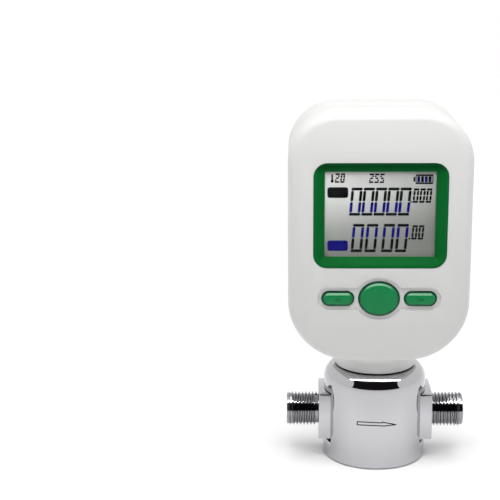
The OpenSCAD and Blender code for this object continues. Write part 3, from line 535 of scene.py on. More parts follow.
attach(rear_shell, "meter")
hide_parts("rear_shell")
print("rear shell:", len(rear_shell.data.polygons), "faces")

# %% [markdown]
# The door drops into the rebate, flush with the back, and two captive screws hold its lugs.

# %% Battery door
door = lugged_slab("white_battery_door", 19.1 * MM, BACK_Y, 0)
for place in DOOR_SCREWS:
    post(door, 3.2 * MM, place, 17.1 * MM, 20 * MM)
    hole(door, 2.6 * MM, place, 18.85 * MM, BEHIND, 32)
    hole(door, 1.4 * MM, place, 16 * MM, 20 * MM)
soften(door, 0.25 * MM)
smooth(door)
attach(door, "door")
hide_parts("battery_door")
print("battery door:", len(door.data.polygons), "faces")

# %% [markdown]
# ## Bezel and keys
# The green bezel is a frame whose inner walls lean in from a narrow lip to the display. One
# loft goes up the outside, over the lip and down to the window, and bridging its two ends
# closes the back.

# %% Green bezel
BEZEL_WINDOW = rounded(40.6 * MM, 31.8 * MM, 0.5 * MM, 0, BEZEL_Z)
bezel_rings = [
    bezel_ring(-17 * MM, -1.6 * MM), bezel_ring(-18.3 * MM, -1.6 * MM),
    bezel_ring(-18.3 * MM, 0), bezel_ring(-20 * MM, 0), bezel_ring(-20.11 * MM, -0.06 * MM),
    bezel_ring(-20.15 * MM, -0.2 * MM), bezel_ring(-20.15 * MM, -0.8 * MM),
    bezel_ring(-20.08 * MM, -1 * MM), bezel_ring(-19.9 * MM, -1.15 * MM),
    (-17 * MM, BEZEL_WINDOW),
]
bezel = lofted("green_bezel", bezel_rings, 10, hole=True)
smooth(bezel, 30)
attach(bezel, "meter")
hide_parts("bezel_frame")
print("bezel:", len(bezel.data.polygons), "faces")

# %% [markdown]
# A key rises from a narrow ledge at the bottom of the recess. Its edge is a broad chamfer that
# rounds over into a nearly flat front, and the middle key is slightly domed. A flange behind
# the wall keeps it in, and a stem reaches the switch. The rings of the loft follow that profile
# from back to front. Each pair of the list is a place on Y and how far the outline is drawn in,
# both in millimetres.

# %% Keys
KEY_BACK_Y = -16.5 * MM
FLANGE_Y = -17.5 * MM
STEM_END_Y = -12.7 * MM
KEY_PROFILE = [(-17.5, 0), (-19.4, 0), (-19.45, 0.04), (-19.47, 0.34), (-19.55, 0.38),
               (-19.8, 0.63), (-20.1, 0.93), (-20.36, 1.19), (-20.45, 1.36), (-20.5, 1.6),
               (-20.53, 2.0), (-20.54, 2.4)]
KEY_DOME = [(-20.59, 3.2), (-20.63, 4.2), (-20.65, 5.4)]
SIDE_KEY = (11.8 * MM, 5.35 * MM)
MIDDLE_KEY = (15 * MM, 12.9 * MM)


def key_rings(outline, w, h, x):
    flange_w = w - 0.1 * MM
    flange_h = h + 1.8 * MM
    if outline is pill:
        flange = rounded(flange_w, flange_h, h / 2, x, KEYS_Z)
    else:
        flange = oval(flange_w, flange_h, x, KEYS_Z)
    rings = [(KEY_BACK_Y, flange), (FLANGE_Y, flange)]
    for y, inset in KEY_PROFILE + (KEY_DOME if outline is oval else []):
        rings.append((y * MM, outline(w - 2 * inset * MM, h - 2 * inset * MM, x, KEYS_Z)))
    return rings


def key(name, body, nodes, outline, size, x):
    cap = lofted(name, key_rings(outline, *size, x), 12)
    post(cap, 1.6 * MM, (x, KEYS_Z), -17 * MM, STEM_END_Y)
    smooth(cap, 50)
    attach(cap, body)
    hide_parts(nodes)
    print(name, len(cap.data.polygons), "faces")
    return cap


keys = [
    key("green_up_key", "up_key", "up_button", pill, SIDE_KEY, -SIDE_KEY_X),
    key("green_down_key", "down_key", "down_button", pill, SIDE_KEY, SIDE_KEY_X),
    key("green_middle_key", "function_key", "function_button", oval, MIDDLE_KEY, 0),
]

# %% [markdown]
# The two side keys carry a small raised arrowhead, and the middle key stays bare. An arrowhead
# is two thin bars that lean against each other, sunk a little into the key.

# %% Arrowheads on the side keys
MARK_Y = -20.56 * MM
ARM_SIZE = (1.5 * MM, 0.09 * MM, 0.34 * MM)
ARM_TILT = math.radians(35)


def arrowhead(name, body, x, way):
    """Two arms that point up for a way of 1, or down for a way of -1."""
    arms = []
    for side in (-1, 1):
        leave_edit()
        bpy.ops.mesh.primitive_cube_add(
            size=1, location=(x + side * 0.5 * MM, MARK_Y, KEYS_Z),
            rotation=(0, side * way * ARM_TILT, 0))
        bpy.context.object.scale = ARM_SIZE
        arms.append(take("arm"))
    mark = combine(arms[0], arms[1], "UNION")
    mark.name = name
    soften(mark, 0.03 * MM, 1)
    smooth(mark, 30)
    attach(mark, body)
    return mark


marks = [arrowhead("up_mark", "up_key", -SIDE_KEY_X, 1),
         arrowhead("down_mark", "down_key", SIDE_KEY_X, -1)]
print("arrowheads:", len(marks))

# %% [markdown]
# ## The display
# The figures of a liquid crystal display are thin dark bars printed in the glass. A bar is a
# plane with its corners cut off. It is made once for each length, and copied to every
# place it is needed. All the figures lean a little, as on the real glass.

# %% One bar of a figure
PRINT_Y = -15.915 * MM
bar_store = {}


def bar_mesh(length, thick):
    size = (round(length, 6), round(thick, 6))
    if size not in bar_store:
        leave_edit()
        bpy.ops.mesh.primitive_plane_add(size=1, rotation=(math.pi / 2, 0, 0))
        bpy.context.object.scale = (length, thick, 1)
        piece = take("bar")
        edit(piece)
        bpy.ops.mesh.select_all(action="SELECT")
        bpy.ops.mesh.bevel(offset=0.3 * thick, segments=1, affect="VERTICES")
        leave_edit()
        bar_store[size] = piece.data.copy()
        bpy.data.objects.remove(piece)
    return bar_store[size]


def place_bar(length, thick, upright, x, z, lean=0.0, base_z=0.0):
    """A copy of a bar at its place, leaning over from the foot of its line."""
    mesh = bar_mesh(length, thick).copy()
    if upright:
        mesh.transform(Matrix.Rotation(math.pi / 2, 4, "Y"))
    mesh.transform(Matrix.Translation((x, PRINT_Y, z)))
    for v in mesh.vertices:
        v.co.x += lean * (v.co.z - base_z)
    piece = bpy.data.objects.new("bar", mesh)
    bpy.context.scene.collection.objects.link(piece)
    return piece


print("bar ready")

# %% [markdown]
# A figure has seven bars, named a to g from the top, clockwise and then across the middle. The
# dictionary below tells which are on. Two tints of ink follow the real display: the figures of
# the upper row are black above and deep blue below, and the lower row has them the other way
# round. All sizes of a row are in millimetres.

# %% Figures
FIGURES = {"0": "abcdef", "2": "abged", "5": "afgcd"}
LEAN = 0.086
inks = {"black": [], "blue": []}


def figure(char, x, base_z, w, h, thick, upper="black", lower="black"):
    gap = 0.12 * thick
    waist = thick / 2 + gap if "g" in FIGURES[char] else gap
    arm = h / 2 - thick - gap - waist
    mid_z = base_z + h / 2
    high_z = mid_z + waist + arm / 2
    low_z = mid_z - waist - arm / 2
    left = x + thick / 2
    right = x + w - thick / 2
    bars = {
        "a": (w, False, x + w / 2, base_z + h - thick / 2, "black"),
        "d": (w, False, x + w / 2, base_z + thick / 2, "black"),
        "g": (w - thick, False, x + w / 2, mid_z, "black"),
        "f": (arm, True, left, high_z, upper), "b": (arm, True, right, high_z, upper),
        "e": (arm, True, left, low_z, lower), "c": (arm, True, right, low_z, lower),
    }
    for name in FIGURES[char]:
        length, upright, bx, bz, ink = bars[name]
        inks[ink].append(place_bar(length, thick, upright, bx, bz, LEAN, base_z))


def row(text, x, base_z, pitch, w, h, thick, **tints):
    """Figures side by side, from the lower left corner of the first."""
    for i, char in enumerate(text):
        figure(char, (x + i * pitch) * MM, base_z * MM, w * MM, h * MM, thick * MM, **tints)


def dot(x, z, size):
    inks["black"].append(place_bar(size * MM, size * MM, False, x * MM, z * MM))


row("00000", -11.4, 98.65, 4.47, 4.15, 10.5, 1.05, lower="blue")
dot(11.3, 103.85, 0.7)
row("000", 11.75, 103.45, 2.38, 2.05, 5.4, 0.78)
for x in (-10.7, -5.6, 0.55, 5.62):
    row("0", x, 84.85, 0, 4.25, 10.7, 1.05, upper="blue")
dot(11.0, 90.0, 0.7)
row("00", 11.55, 89.65, 2.4, 2.05, 5.4, 0.78)
row("20", -16.7, 110.95, 1.95, 1.65, 3.5, 0.64)
row("255", -4.25, 110.85, 1.95, 1.65, 3.5, 0.64)
print("bars:", len(inks["black"]), "black,", len(inks["blue"]), "blue")

# %% [markdown]
# Beside the figures stand two plain tabs, a battery sign with four cells in it and a small
# thermometer. All of them are flat patches with round corners. What is printed in one ink is
# then joined into one piece.


# %% Tabs, battery sign and thermometer sign
def plate(ink, x0, x1, z0, z1, r):
    """A flat printed patch with round corners, in millimetres."""
    outline = rounded((x1 - x0) * MM, (z1 - z0) * MM, r * MM, (x0 + x1) / 2 * MM,
                      (z0 + z1) / 2 * MM)
    piece = first_outline("patch", PRINT_Y, outline, 4)
    leave_edit()
    inks[ink].append(piece)


plate("black", -19.3, -11.7, 105.3, 109.3, 0.9)
plate("blue", -19.2, -11.6, 85.3, 89.3, 0.9)
for z in (110.75, 113.75):
    plate("black", 12.8, 19.1, z - 0.32, z + 0.32, 0.05)
for x in (12.9, 19.0):
    plate("black", x - 0.18, x + 0.18, 110.96, 113.54, 0.05)
plate("black", 11.95, 12.6, 111.4, 113.1, 0.15)
for i, ink in enumerate(["blue", "black", "blue", "black"]):
    plate(ink, 13.32 + 1.37 * i, 14.4 + 1.37 * i, 111.15, 113.35, 0.08)
plate("black", -17.9, -17.3, 111.9, 114.2, 0.28)
plate("black", -18.15, -17.05, 111.0, 112.1, 0.5)
display_prints = {}
for ink, parts in inks.items():
    printed = join(f"display_{ink}_ink", parts)
    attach(printed, "meter")
    display_prints[ink] = printed
print("display prints:", len(display_prints))

# %% [markdown]
# ## The chrome pot
# The pot is turned and polished: a cylinder with a broad round shoulder and a hardly broken
# bottom edge. Bevelling the two rims gives both, and the shoulder is then stretched downwards,
# because it is taller than it is wide. Square windows are cut for the blocks that carry the
# nipples.

# %% Pot
POT_R = 19.8 * MM
POT_H = 36.5 * MM
PATH_Z = 17.25 * MM
SHOULDER_W = 4.2 * MM
SHOULDER_STRETCH = 1.42
POT_INSIDE_R = 17.8 * MM
POT_ROOF_Z = 34.5 * MM
POT_WINDOW_HALF_W = 9.725 * MM

pot = rod("chrome_pot", POT_R, (0, 0, 0), (0, 0, POT_H), 160)
edit(pot)
rim(pot, POT_H)
bpy.ops.mesh.bevel(offset=SHOULDER_W, segments=14, affect="EDGES")
pick(pot, "VERT", lambda v: v.co.z > POT_H - SHOULDER_W - 0.1 * MM)
bpy.ops.transform.resize(value=(1, 1, SHOULDER_STRETCH), center_override=(0, 0, POT_H))
rim(pot, 0)
bpy.ops.mesh.bevel(offset=0.5 * MM, segments=4, affect="EDGES")
inside = rod("inside", POT_INSIDE_R, (0, 0, -2 * MM), (0, 0, POT_ROOF_Z), 96)
edit(inside)
rim(inside, POT_ROOF_Z)
bpy.ops.mesh.bevel(offset=2.2 * MM, segments=4, affect="EDGES")
combine(pot, inside)
for side in (-1, 1):
    near, far = sorted((side * 9.9 * MM, side * 30 * MM))
    combine(pot, box("window", (near, -POT_WINDOW_HALF_W, 6.63 * MM),
                     (far, POT_WINDOW_HALF_W, 26.98 * MM)))
combine(pot, rod("lead_hole", LEAD_R, (0, 0, 30 * MM), (0, 0, 40 * MM)))
soften(pot, 0.12 * MM)
smooth(pot)
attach(pot, "meter")
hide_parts("chrome_housing")
print("pot:", len(pot.data.polygons), "faces")

# %% [markdown]
# A fine outlined arrow on the pot's front shows which way the gas runs. It is etched, so it is
# modelled as thin dark strips that lie on the curved wall. Each strip is a narrow grid, drawn
# flat and then bent round the pot. The camera looks down a little, so a level line on the wall
# would seem to bend. The strips sink towards the sides, which makes the arrow look straight.

# %% Flow arrow
ARROW = [(-7.4, 19.4), (1.8, 19.0), (1.9, 19.3), (7.3, 18.3), (2.9, 17.75), (-7.4, 18.15)]
ARROW_SINKS = 0.37
ARROW_LINE_W = 0.42 * MM
strips = []
for (x0, z0), (x1, z1) in zip(ARROW, ARROW[1:] + ARROW[:1]):
    leave_edit()
    length = math.hypot(x1 - x0, z1 - z0)
    bpy.ops.mesh.primitive_grid_add(
        x_subdivisions=10, y_subdivisions=1, size=1,
        location=((x0 + x1) / 2 * MM, 0, (z0 + z1) / 2 * MM),
        rotation=(math.pi / 2, -math.atan2(z1 - z0, x1 - x0), 0))
    bpy.context.object.scale = ((length + 0.2) * MM, ARROW_LINE_W, 1)
    strips.append(take("strip"))
arrow = join("flow_arrow", strips)
for v in arrow.data.vertices:
    v.co.y = -math.sqrt((POT_R + 0.01 * MM) ** 2 - v.co.x ** 2)
    v.co.z -= ARROW_SINKS * (v.co.y + POT_R)
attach(arrow, "meter")
print("arrow:", len(arrow.data.polygons), "faces")

# %% [markdown]
# ## Nipples
# Each nipple is a square block with a threaded spigot. The thread is a true helix: one ridge in
# section, swept round the axis by the Screw modifier, one pitch to a turn. It is the pipe
# thread that the CAD model shows as rings. The swept ridge is open at both ends, so its ends
# are filled.

# %% Ridge of the thread
BLOCK_HALF = 9.225 * MM
BLOCK_X = 21.96 * MM
END_X = 34.3 * MM
CREST_R = 6.58 * MM
ROOT_R = 5.724 * MM
NOSE_R = 6.1 * MM
PITCH = 1.337 * MM
TURNS = 8
RIDGE_W = 1.1 * MM
RIDGE_TOP = 0.24
RIDGE_MIDDLE_R = (ROOT_R + CREST_R) / 2


def sweep_round(piece, axis, turns, rise, steps):
    """Sweep an outline round an axis while it rises along it, and close both ends."""
    only(piece)
    sweep = piece.modifiers.new("sweep", "SCREW")
    sweep.axis = axis
    sweep.angle = 2 * math.pi * turns
    sweep.screw_offset = rise
    sweep.steps = steps
    sweep.render_steps = steps
    sweep.use_merge_vertices = False
    bpy.ops.object.modifier_apply(modifier=sweep.name)
    edit(piece)
    bpy.ops.mesh.select_all(action="SELECT")
    bpy.ops.mesh.fill_holes(sides=12)
    bpy.ops.mesh.select_all(action="SELECT")
    bpy.ops.mesh.normals_make_consistent(inside=False)
    leave_edit()
    return piece


def thread_ridge(name, start_x):
    """A trapezoid in the XZ plane, swept along +X round the X axis."""
    middle_x = start_x + 0.55 * MM
    leave_edit()
    bpy.ops.mesh.primitive_plane_add(
        size=1, location=(middle_x, 0, RIDGE_MIDDLE_R), rotation=(math.pi / 2, 0, 0))
    bpy.context.object.scale = (RIDGE_W, CREST_R - ROOT_R + 0.1 * MM, 1)
    ridge = take(name)
    edit(ridge)
    pick(ridge, "VERT", lambda v: v.co.z > RIDGE_MIDDLE_R)
    bpy.ops.transform.translate(value=(0, 0, -0.05 * MM))
    bpy.ops.transform.resize(
        value=(RIDGE_TOP, 1, 1), center_override=(middle_x, 0, CREST_R))
    return sweep_round(ridge, "X", TURNS, PITCH * TURNS, 40 * TURNS)


print("ridge: %d turns of %.3f mm" % (TURNS, PITCH / MM))

# %% [markdown]
# The body is a core up to the thread's root, a plain nose, the block and the spigot that
# reaches into the pot, with the bore through them all. It is made once for the right side, and
# its mesh is turned half round the upright axis for the left.

# %% Block, spigot and nose
BLOCK_IN_X = 14.55 * MM
NOSE_X = 31.77 * MM
SPIGOT_R = 6.4 * MM
SPIGOT_X = 6.55 * MM
BORE_R = 4 * MM
THREAD_X = 22.2 * MM


def adapter(name, node, side):
    """A whole nipple. A side of -1 turns it to the left."""
    core = rod("core", ROOT_R, (BLOCK_X - MM, 0, 0), (32.0 * MM, 0, 0), 64)
    nose = rod("nose", NOSE_R, (NOSE_X, 0, 0), (END_X, 0, 0), 64)
    edit(nose)
    pick(nose, "EDGE", lambda e: all(abs(v.co.x - END_X) < 1e-6 for v in e.verts))
    bpy.ops.mesh.bevel(offset=0.45 * MM, segments=2, affect="EDGES")
    body = combine(core, nose, "UNION")
    block = box("block", (BLOCK_IN_X, -BLOCK_HALF, -BLOCK_HALF),
                (BLOCK_X, BLOCK_HALF, BLOCK_HALF))
    soften(block, 0.4 * MM, 2)
    combine(body, block, "UNION")
    combine(body, rod("spigot", SPIGOT_R, (SPIGOT_X, 0, 0), (15 * MM, 0, 0)), "UNION")
    combine(body, rod("bore", BORE_R, (5 * MM, 0, 0), (36 * MM, 0, 0)))
    soften(body, 0.1 * MM, 1, 50)
    body = join(name, [body, thread_ridge("ridge", THREAD_X)])
    if side < 0:
        body.data.transform(Matrix.Rotation(math.pi, 4, "Z"))
    body.data.transform(Matrix.Translation((0, 0, PATH_Z)))
    smooth(body, 32)
    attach(body, "meter")
    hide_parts(node)
    print(name, len(body.data.polygons), "faces")
    return body


inlet = adapter("chrome_inlet", "inlet_adapter", -1)
outlet = adapter("chrome_outlet", "outlet_adapter", 1)

# %% [markdown]
# ## Contact springs
# Behind the door each cell sits on a wound spring. The wire's round section is swept up the
# axis by the Screw modifier, and the coil is then drawn in towards its top, which gives the
# usual cone. Every second cell stands on its head, and its spring with it.

# %% Contact springs
CELL_Y = 10.9 * MM
CELL_X = [-22.2 * MM, -7.4 * MM, 7.4 * MM, 22.2 * MM]
WIRE_R = 0.3 * MM
COIL_R = 3.85 * MM
COIL_TURNS = 4
COIL_RISE = 3.8 * MM
SPRING_H = 4.5 * MM
COIL_NARROWS = 0.28


def spring(x, low_z, upright):
    leave_edit()
    bpy.ops.mesh.primitive_circle_add(
        vertices=10, radius=WIRE_R, location=(COIL_R, 0, 0.35 * MM),
        rotation=(math.pi / 2, 0, 0))
    wire = sweep_round(take("spring"), "Z", COIL_TURNS, COIL_RISE, 28 * COIL_TURNS)
    for v in wire.data.vertices:
        draw = 1 - COIL_NARROWS * v.co.z / SPRING_H
        v.co.x *= draw
        v.co.y *= draw
    if not upright:
        wire.data.transform(Matrix.Rotation(math.pi, 4, "X"))
        wire.data.transform(Matrix.Translation((0, 0, SPRING_H)))
    wire.data.transform(Matrix.Translation((x, CELL_Y, low_z)))
    return wire


LOW_SPRING_Z = BAY_Z - BAY_HALF_H + 0.6 * MM
HIGH_SPRING_Z = BAY_Z + BAY_HALF_H - 5.1 * MM
wires = [spring(x, LOW_SPRING_Z if i % 2 == 0 else HIGH_SPRING_Z, i % 2 == 0)
         for i, x in enumerate(CELL_X)]
springs = smooth(join("contact_spring_coils", wires), 60)
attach(springs, "meter")
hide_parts("battery_springs")
print("springs:", len(springs.data.polygons), "faces")

# %% [markdown]
# ## Finishes
# The same two small effects turn up in every material: a fine grain, and a slow unevenness of
# gloss or tint. Each is a node group, built once, that puts out one plain value. The shader
# itself stays in the material.

# %% Node groups
PATCH_SCALE = 60.0


def new_group(name, output, **inputs):
    """A group with one output, and inputs that have a name and a usual value."""
    group = bpy.data.node_groups.new(name, "ShaderNodeTree")
    for label, value in inputs.items():
        socket = group.interface.new_socket(
            name=label, in_out="INPUT", socket_type="NodeSocketFloat")
        socket.default_value = value
    group.interface.new_socket(name=output, in_out="OUTPUT", socket_type="NodeSocketFloat")
    return group, group.nodes.new("NodeGroupInput"), group.nodes.new("NodeGroupOutput")


def uneven_group():
    """A value that wanders slowly between two ends, for gloss or for tint."""
    group, start, end = new_group(
        "slow_unevenness", "Value", Scale=PATCH_SCALE, Low=0.3, High=0.4)
    place = group.nodes.new("ShaderNodeTexCoord")
    noise = group.nodes.new("ShaderNodeTexNoise")
    noise.inputs["Detail"].default_value = 5
    spread = group.nodes.new("ShaderNodeMapRange")
    spread.inputs["From Min"].default_value = 0.3
    spread.inputs["From Max"].default_value = 0.7
    group.links.new(place.outputs["Object"], noise.inputs["Vector"])
    group.links.new(start.outputs["Scale"], noise.inputs["Scale"])
    group.links.new(noise.outputs["Fac"], spread.inputs["Value"])
    group.links.new(start.outputs["Low"], spread.inputs["To Min"])
    group.links.new(start.outputs["High"], spread.inputs["To Max"])
    group.links.new(spread.outputs["Result"], end.inputs["Value"])
    return group


def grain_group():
    """Height of a fine spark-eroded or cast grain."""
    group, start, end = new_group("fine_grain", "Height", Scale=2500.0)
    place = group.nodes.new("ShaderNodeTexCoord")
    noise = group.nodes.new("ShaderNodeTexNoise")
    noise.inputs["Detail"].default_value = 3
    noise.inputs["Roughness"].default_value = 0.6
    group.links.new(place.outputs["Object"], noise.inputs["Vector"])
    group.links.new(start.outputs["Scale"], noise.inputs["Scale"])
    group.links.new(noise.outputs["Fac"], end.inputs["Height"])
    return group


uneven = uneven_group()
grain = grain_group()
print("groups:", uneven.name, grain.name)

# %% [markdown]
# A finish is a tint that wanders by a small share of itself, a roughness that wanders between
# two values, and a grain so fine that a bump of a few hundredths of a millimetre shows it. One
# function makes all the opaque finishes. What differs between white plastic and polished
# chrome is in the numbers.


# %% Opaque finishes
def place_group(nodes, group, **values):
    """Put a node group in a material, with its own values."""
    node = nodes.new("ShaderNodeGroup")
    node.node_tree = group
    for label, value in values.items():
        node.inputs[label].default_value = value
    return node


def finish(name, tint, spread=0.04, metallic=0.0, rough=(0.3, 0.4), grain_scale=2500.0,
           bump=0.1, depth=0.02, gleam=0.5):
    """An opaque material. The depth of its grain is in millimetres."""
    material = bpy.data.materials.new(name)
    material.use_nodes = True
    nodes, links = material.node_tree.nodes, material.node_tree.links
    shader = nodes["Principled BSDF"]
    shader.inputs["Metallic"].default_value = metallic
    shader.inputs["Specular IOR Level"].default_value = gleam
    gloss = place_group(nodes, uneven, Low=rough[0], High=rough[1])
    links.new(gloss.outputs["Value"], shader.inputs["Roughness"])
    patch = place_group(nodes, uneven, Scale=0.4 * PATCH_SCALE, Low=0.0, High=1.0)
    mix = nodes.new("ShaderNodeMix")
    mix.data_type = "RGBA"
    mix.inputs["A"].default_value = [c * (1 - spread) for c in tint] + [1]
    mix.inputs["B"].default_value = [min(1, c * (1 + spread)) for c in tint] + [1]
    links.new(patch.outputs["Value"], mix.inputs["Factor"])
    links.new(mix.outputs["Result"], shader.inputs["Base Color"])
    fine = place_group(nodes, grain, Scale=grain_scale)
    relief = nodes.new("ShaderNodeBump")
    relief.inputs["Strength"].default_value = bump
    relief.inputs["Distance"].default_value = depth * MM
    links.new(fine.outputs["Height"], relief.inputs["Height"])
    links.new(relief.outputs["Normal"], shader.inputs["Normal"])
    return material


def dress(piece, material):
    piece.data.materials.clear()
    piece.data.materials.append(material)


BEZEL_GREEN = (0.004, 0.12, 0.024)
KEY_GREEN = (0.001, 0.205, 0.056)
CHROME_TINT = (0.48, 0.478, 0.495)
white = finish("white_moulded_plastic", (0.655, 0.655, 0.646), 0.004, rough=(0.4, 0.44),
               gleam=0.12)
green = finish("green_bezel_plastic", BEZEL_GREEN, 0.06, rough=(0.35, 0.45), gleam=0.01)
key_green = finish("green_key_plastic", KEY_GREEN, rough=(0.24, 0.3), bump=0.05, gleam=0.22)
mark_green = finish("green_mark", (0.004, 0.08, 0.026), 0.05, rough=(0.4, 0.5), gleam=0.2)
chrome = finish("polished_chrome", CHROME_TINT, 0.012, 1.0, (0.03, 0.07), grain_scale=900.0,
                bump=0.02, depth=0.01)
etched = finish("etched_line", (0.012, 0.012, 0.014), 0.1, rough=(0.5, 0.6), gleam=0.2)
steel = finish("screw_steel", (0.5, 0.5, 0.51), 0.05, 1.0, (0.25, 0.35))
core_metal = finish("core_aluminium", (0.55, 0.56, 0.57), 0.03, 1.0, (0.3, 0.42))
brass = finish("screen_brass", (0.75, 0.55, 0.25), 0.06, 1.0, (0.25, 0.35))
rubber = finish("black_rubber", (0.012, 0.012, 0.012), 0.2, rough=(0.6, 0.75), bump=0.3,
                gleam=0.3)
grey = finish("grey_moulded_plastic", (0.2, 0.2, 0.2), 0.05, rough=(0.4, 0.5))
black = finish("black_moulded_plastic", (0.02, 0.02, 0.02), 0.1, rough=(0.35, 0.45))
milky = finish("milky_light_panel", (0.85, 0.86, 0.85), 0.02, rough=(0.4, 0.5))
print("finishes:", len(bpy.data.materials))

# %% [markdown]
# Some tints change from place to place, and three of these changes are painted light and shade.
# The ledge at a key's foot is painted darker than its cap, as painted shade in the gap round
# the key. The bezel's upper wall is painted darker than its lower one, as painted shade. The
# display's background, a grey polariser, is painted brighter towards its top, as painted light.
# In each case one tint gives way to another along a direction, between two places. The
# display's ink is matt.


# %% Tints that change along a direction
def blend(material, way, low, high, low_tint, high_tint, power=1.0):
    """Replace a finish's tint by one that changes along a direction, between two places."""
    nodes, links = material.node_tree.nodes, material.node_tree.links
    place = nodes.new("ShaderNodeTexCoord")
    along = nodes.new("ShaderNodeVectorMath")
    along.operation = "DOT_PRODUCT"
    along.inputs[1].default_value = way
    fade = nodes.new("ShaderNodeMapRange")
    fade.inputs["From Min"].default_value = low
    fade.inputs["From Max"].default_value = high
    ease = nodes.new("ShaderNodeMath")
    ease.operation = "POWER"
    ease.inputs[1].default_value = power
    mix = nodes.new("ShaderNodeMix")
    mix.data_type = "RGBA"
    mix.inputs["A"].default_value = (*low_tint, 1)
    mix.inputs["B"].default_value = (*high_tint, 1)
    links.new(place.outputs["Object"], along.inputs[0])
    links.new(along.outputs["Value"], fade.inputs["Value"])
    links.new(fade.outputs["Result"], ease.inputs[0])
    links.new(ease.outputs["Value"], mix.inputs["Factor"])
    links.new(mix.outputs["Result"], nodes["Principled BSDF"].inputs["Base Color"])
    return material


# Painted shade: the ledge at each key's foot, sunk in the gap round the key, is painted a much
# darker green than the cap.
blend(key_green, (0, 1, 0), -19.54 * MM, -19.49 * MM, KEY_GREEN, (0.001, 0.05, 0.022))
# Painted shade: the bezel's upper wall is painted a darker green than the rest of the bezel.
blend(green, (0, 0, 1), 114.8 * MM, 117.5 * MM, BEZEL_GREEN, (0.002, 0.05, 0.012))
# Painted light: the display's grey background is painted brighter towards its top and a little
# towards its left, about five times brighter at the top than at its foot.
display_grey = finish("display_background", (0.4, 0.4, 0.4), 0.03, rough=(0.35, 0.45),
                      bump=0.05, grain_scale=6000.0, gleam=0.05)
blend(display_grey, (-0.3, 0, 1), 84 * MM, 119 * MM, (0.126, 0.13, 0.12),
      (0.636, 0.64, 0.625), power=2.0)
ink_black = finish("display_black_ink", (0.004, 0.004, 0.005), 0.2, rough=(0.4, 0.5),
                   gleam=0.0)
ink_blue = finish("display_blue_ink", (0.004, 0.004, 0.085), 0.2, rough=(0.4, 0.5),
                  gleam=0.0)
print("blended finishes done")

# %% [markdown]
# The nipples' chrome darkens just outside the block, along X, so the threads are darker than
# the blocks. Each side has its own direction.

# %% Chrome of the nipples
THREAD_TINT = (0.3, 0.3, 0.31)
# The chrome beyond the block is darker; these two places bound the change.
DARKER_FROM = BLOCK_X + 0.03 * MM
DARKER_TO = BLOCK_X + 0.1 * MM


def nipple_chrome(name, way):
    metal = finish(name, CHROME_TINT, 0.012, 1.0, (0.05, 0.12), grain_scale=900.0,
                   bump=0.02, depth=0.01)
    return blend(metal, way, DARKER_FROM, DARKER_TO, CHROME_TINT, THREAD_TINT)


inlet_chrome = nipple_chrome("inlet_chrome", (-1, 0, 0))
outlet_chrome = nipple_chrome("outlet_chrome", (1, 0, 0))
print("nipples:", inlet_chrome.name, outlet_chrome.name)

# %% [markdown]
# The window in front of the display is clear acrylic. Its material lets shadow rays pass, so
# that light reaches the display as it does through the real window.


# %% Clear window
def clear_window():
    material = bpy.data.materials.new("clear_window")
    material.use_nodes = True
    nodes, links = material.node_tree.nodes, material.node_tree.links
    shader = nodes["Principled BSDF"]
    shader.inputs["Base Color"].default_value = (1, 1, 1, 1)
    shader.inputs["Transmission Weight"].default_value = 1
    shader.inputs["IOR"].default_value = 1.1
    gloss = place_group(nodes, uneven, Low=0.01, High=0.03)
    links.new(gloss.outputs["Value"], shader.inputs["Roughness"])
    through = nodes.new("ShaderNodeBsdfTransparent")
    path = nodes.new("ShaderNodeLightPath")
    mix = nodes.new("ShaderNodeMixShader")
    links.new(path.outputs["Is Shadow Ray"], mix.inputs["Fac"])
    links.new(shader.outputs["BSDF"], mix.inputs[1])
    links.new(through.outputs["BSDF"], mix.inputs[2])
    links.new(mix.outputs["Shader"], nodes["Material Output"].inputs["Surface"])
    return material


window = clear_window()
print("window material:", window.name)

# %% [markdown]
# Circuit boards are green with a coarser grain, chips are matt black, and the cells wear a
# printed sleeve: a coloured band at the positive end and a dark body. Every second cell stands
# on its head, so there are two sleeves, with the band at the top or at the bottom.


# %% Board and cells
def banded(name, split, low_tint, high_tint):
    """A sleeve with one tint below a height and another above it."""
    sleeve = finish(name, low_tint, 0.03, 0.35, (0.25, 0.35))
    return blend(sleeve, (0, 0, 1), split, split + 0.1 * MM, low_tint, high_tint)


board_green = finish("circuit_board", (0.01, 0.12, 0.04), 0.15, rough=(0.25, 0.4),
                     grain_scale=1200.0, bump=0.2)
chip = finish("chip_black", (0.015, 0.015, 0.016), 0.2, rough=(0.45, 0.6))
ribbon = finish("ribbon_lead", (0.6, 0.6, 0.58), 0.05, rough=(0.35, 0.45))
SLEEVE_DARK = (0.02, 0.02, 0.022)
SLEEVE_BAND = (0.75, 0.38, 0.05)
sleeve_up = banded("cell_sleeve_up", 102 * MM, SLEEVE_DARK, SLEEVE_BAND)
sleeve_down = banded("cell_sleeve_down", 81 * MM, SLEEVE_BAND, SLEEVE_DARK)
print("board and cells done")

# %% [markdown]
# Every piece and every CAD node that is still shown gets one material. Two tables say which,
# one for the new pieces and one for the nodes by their names.

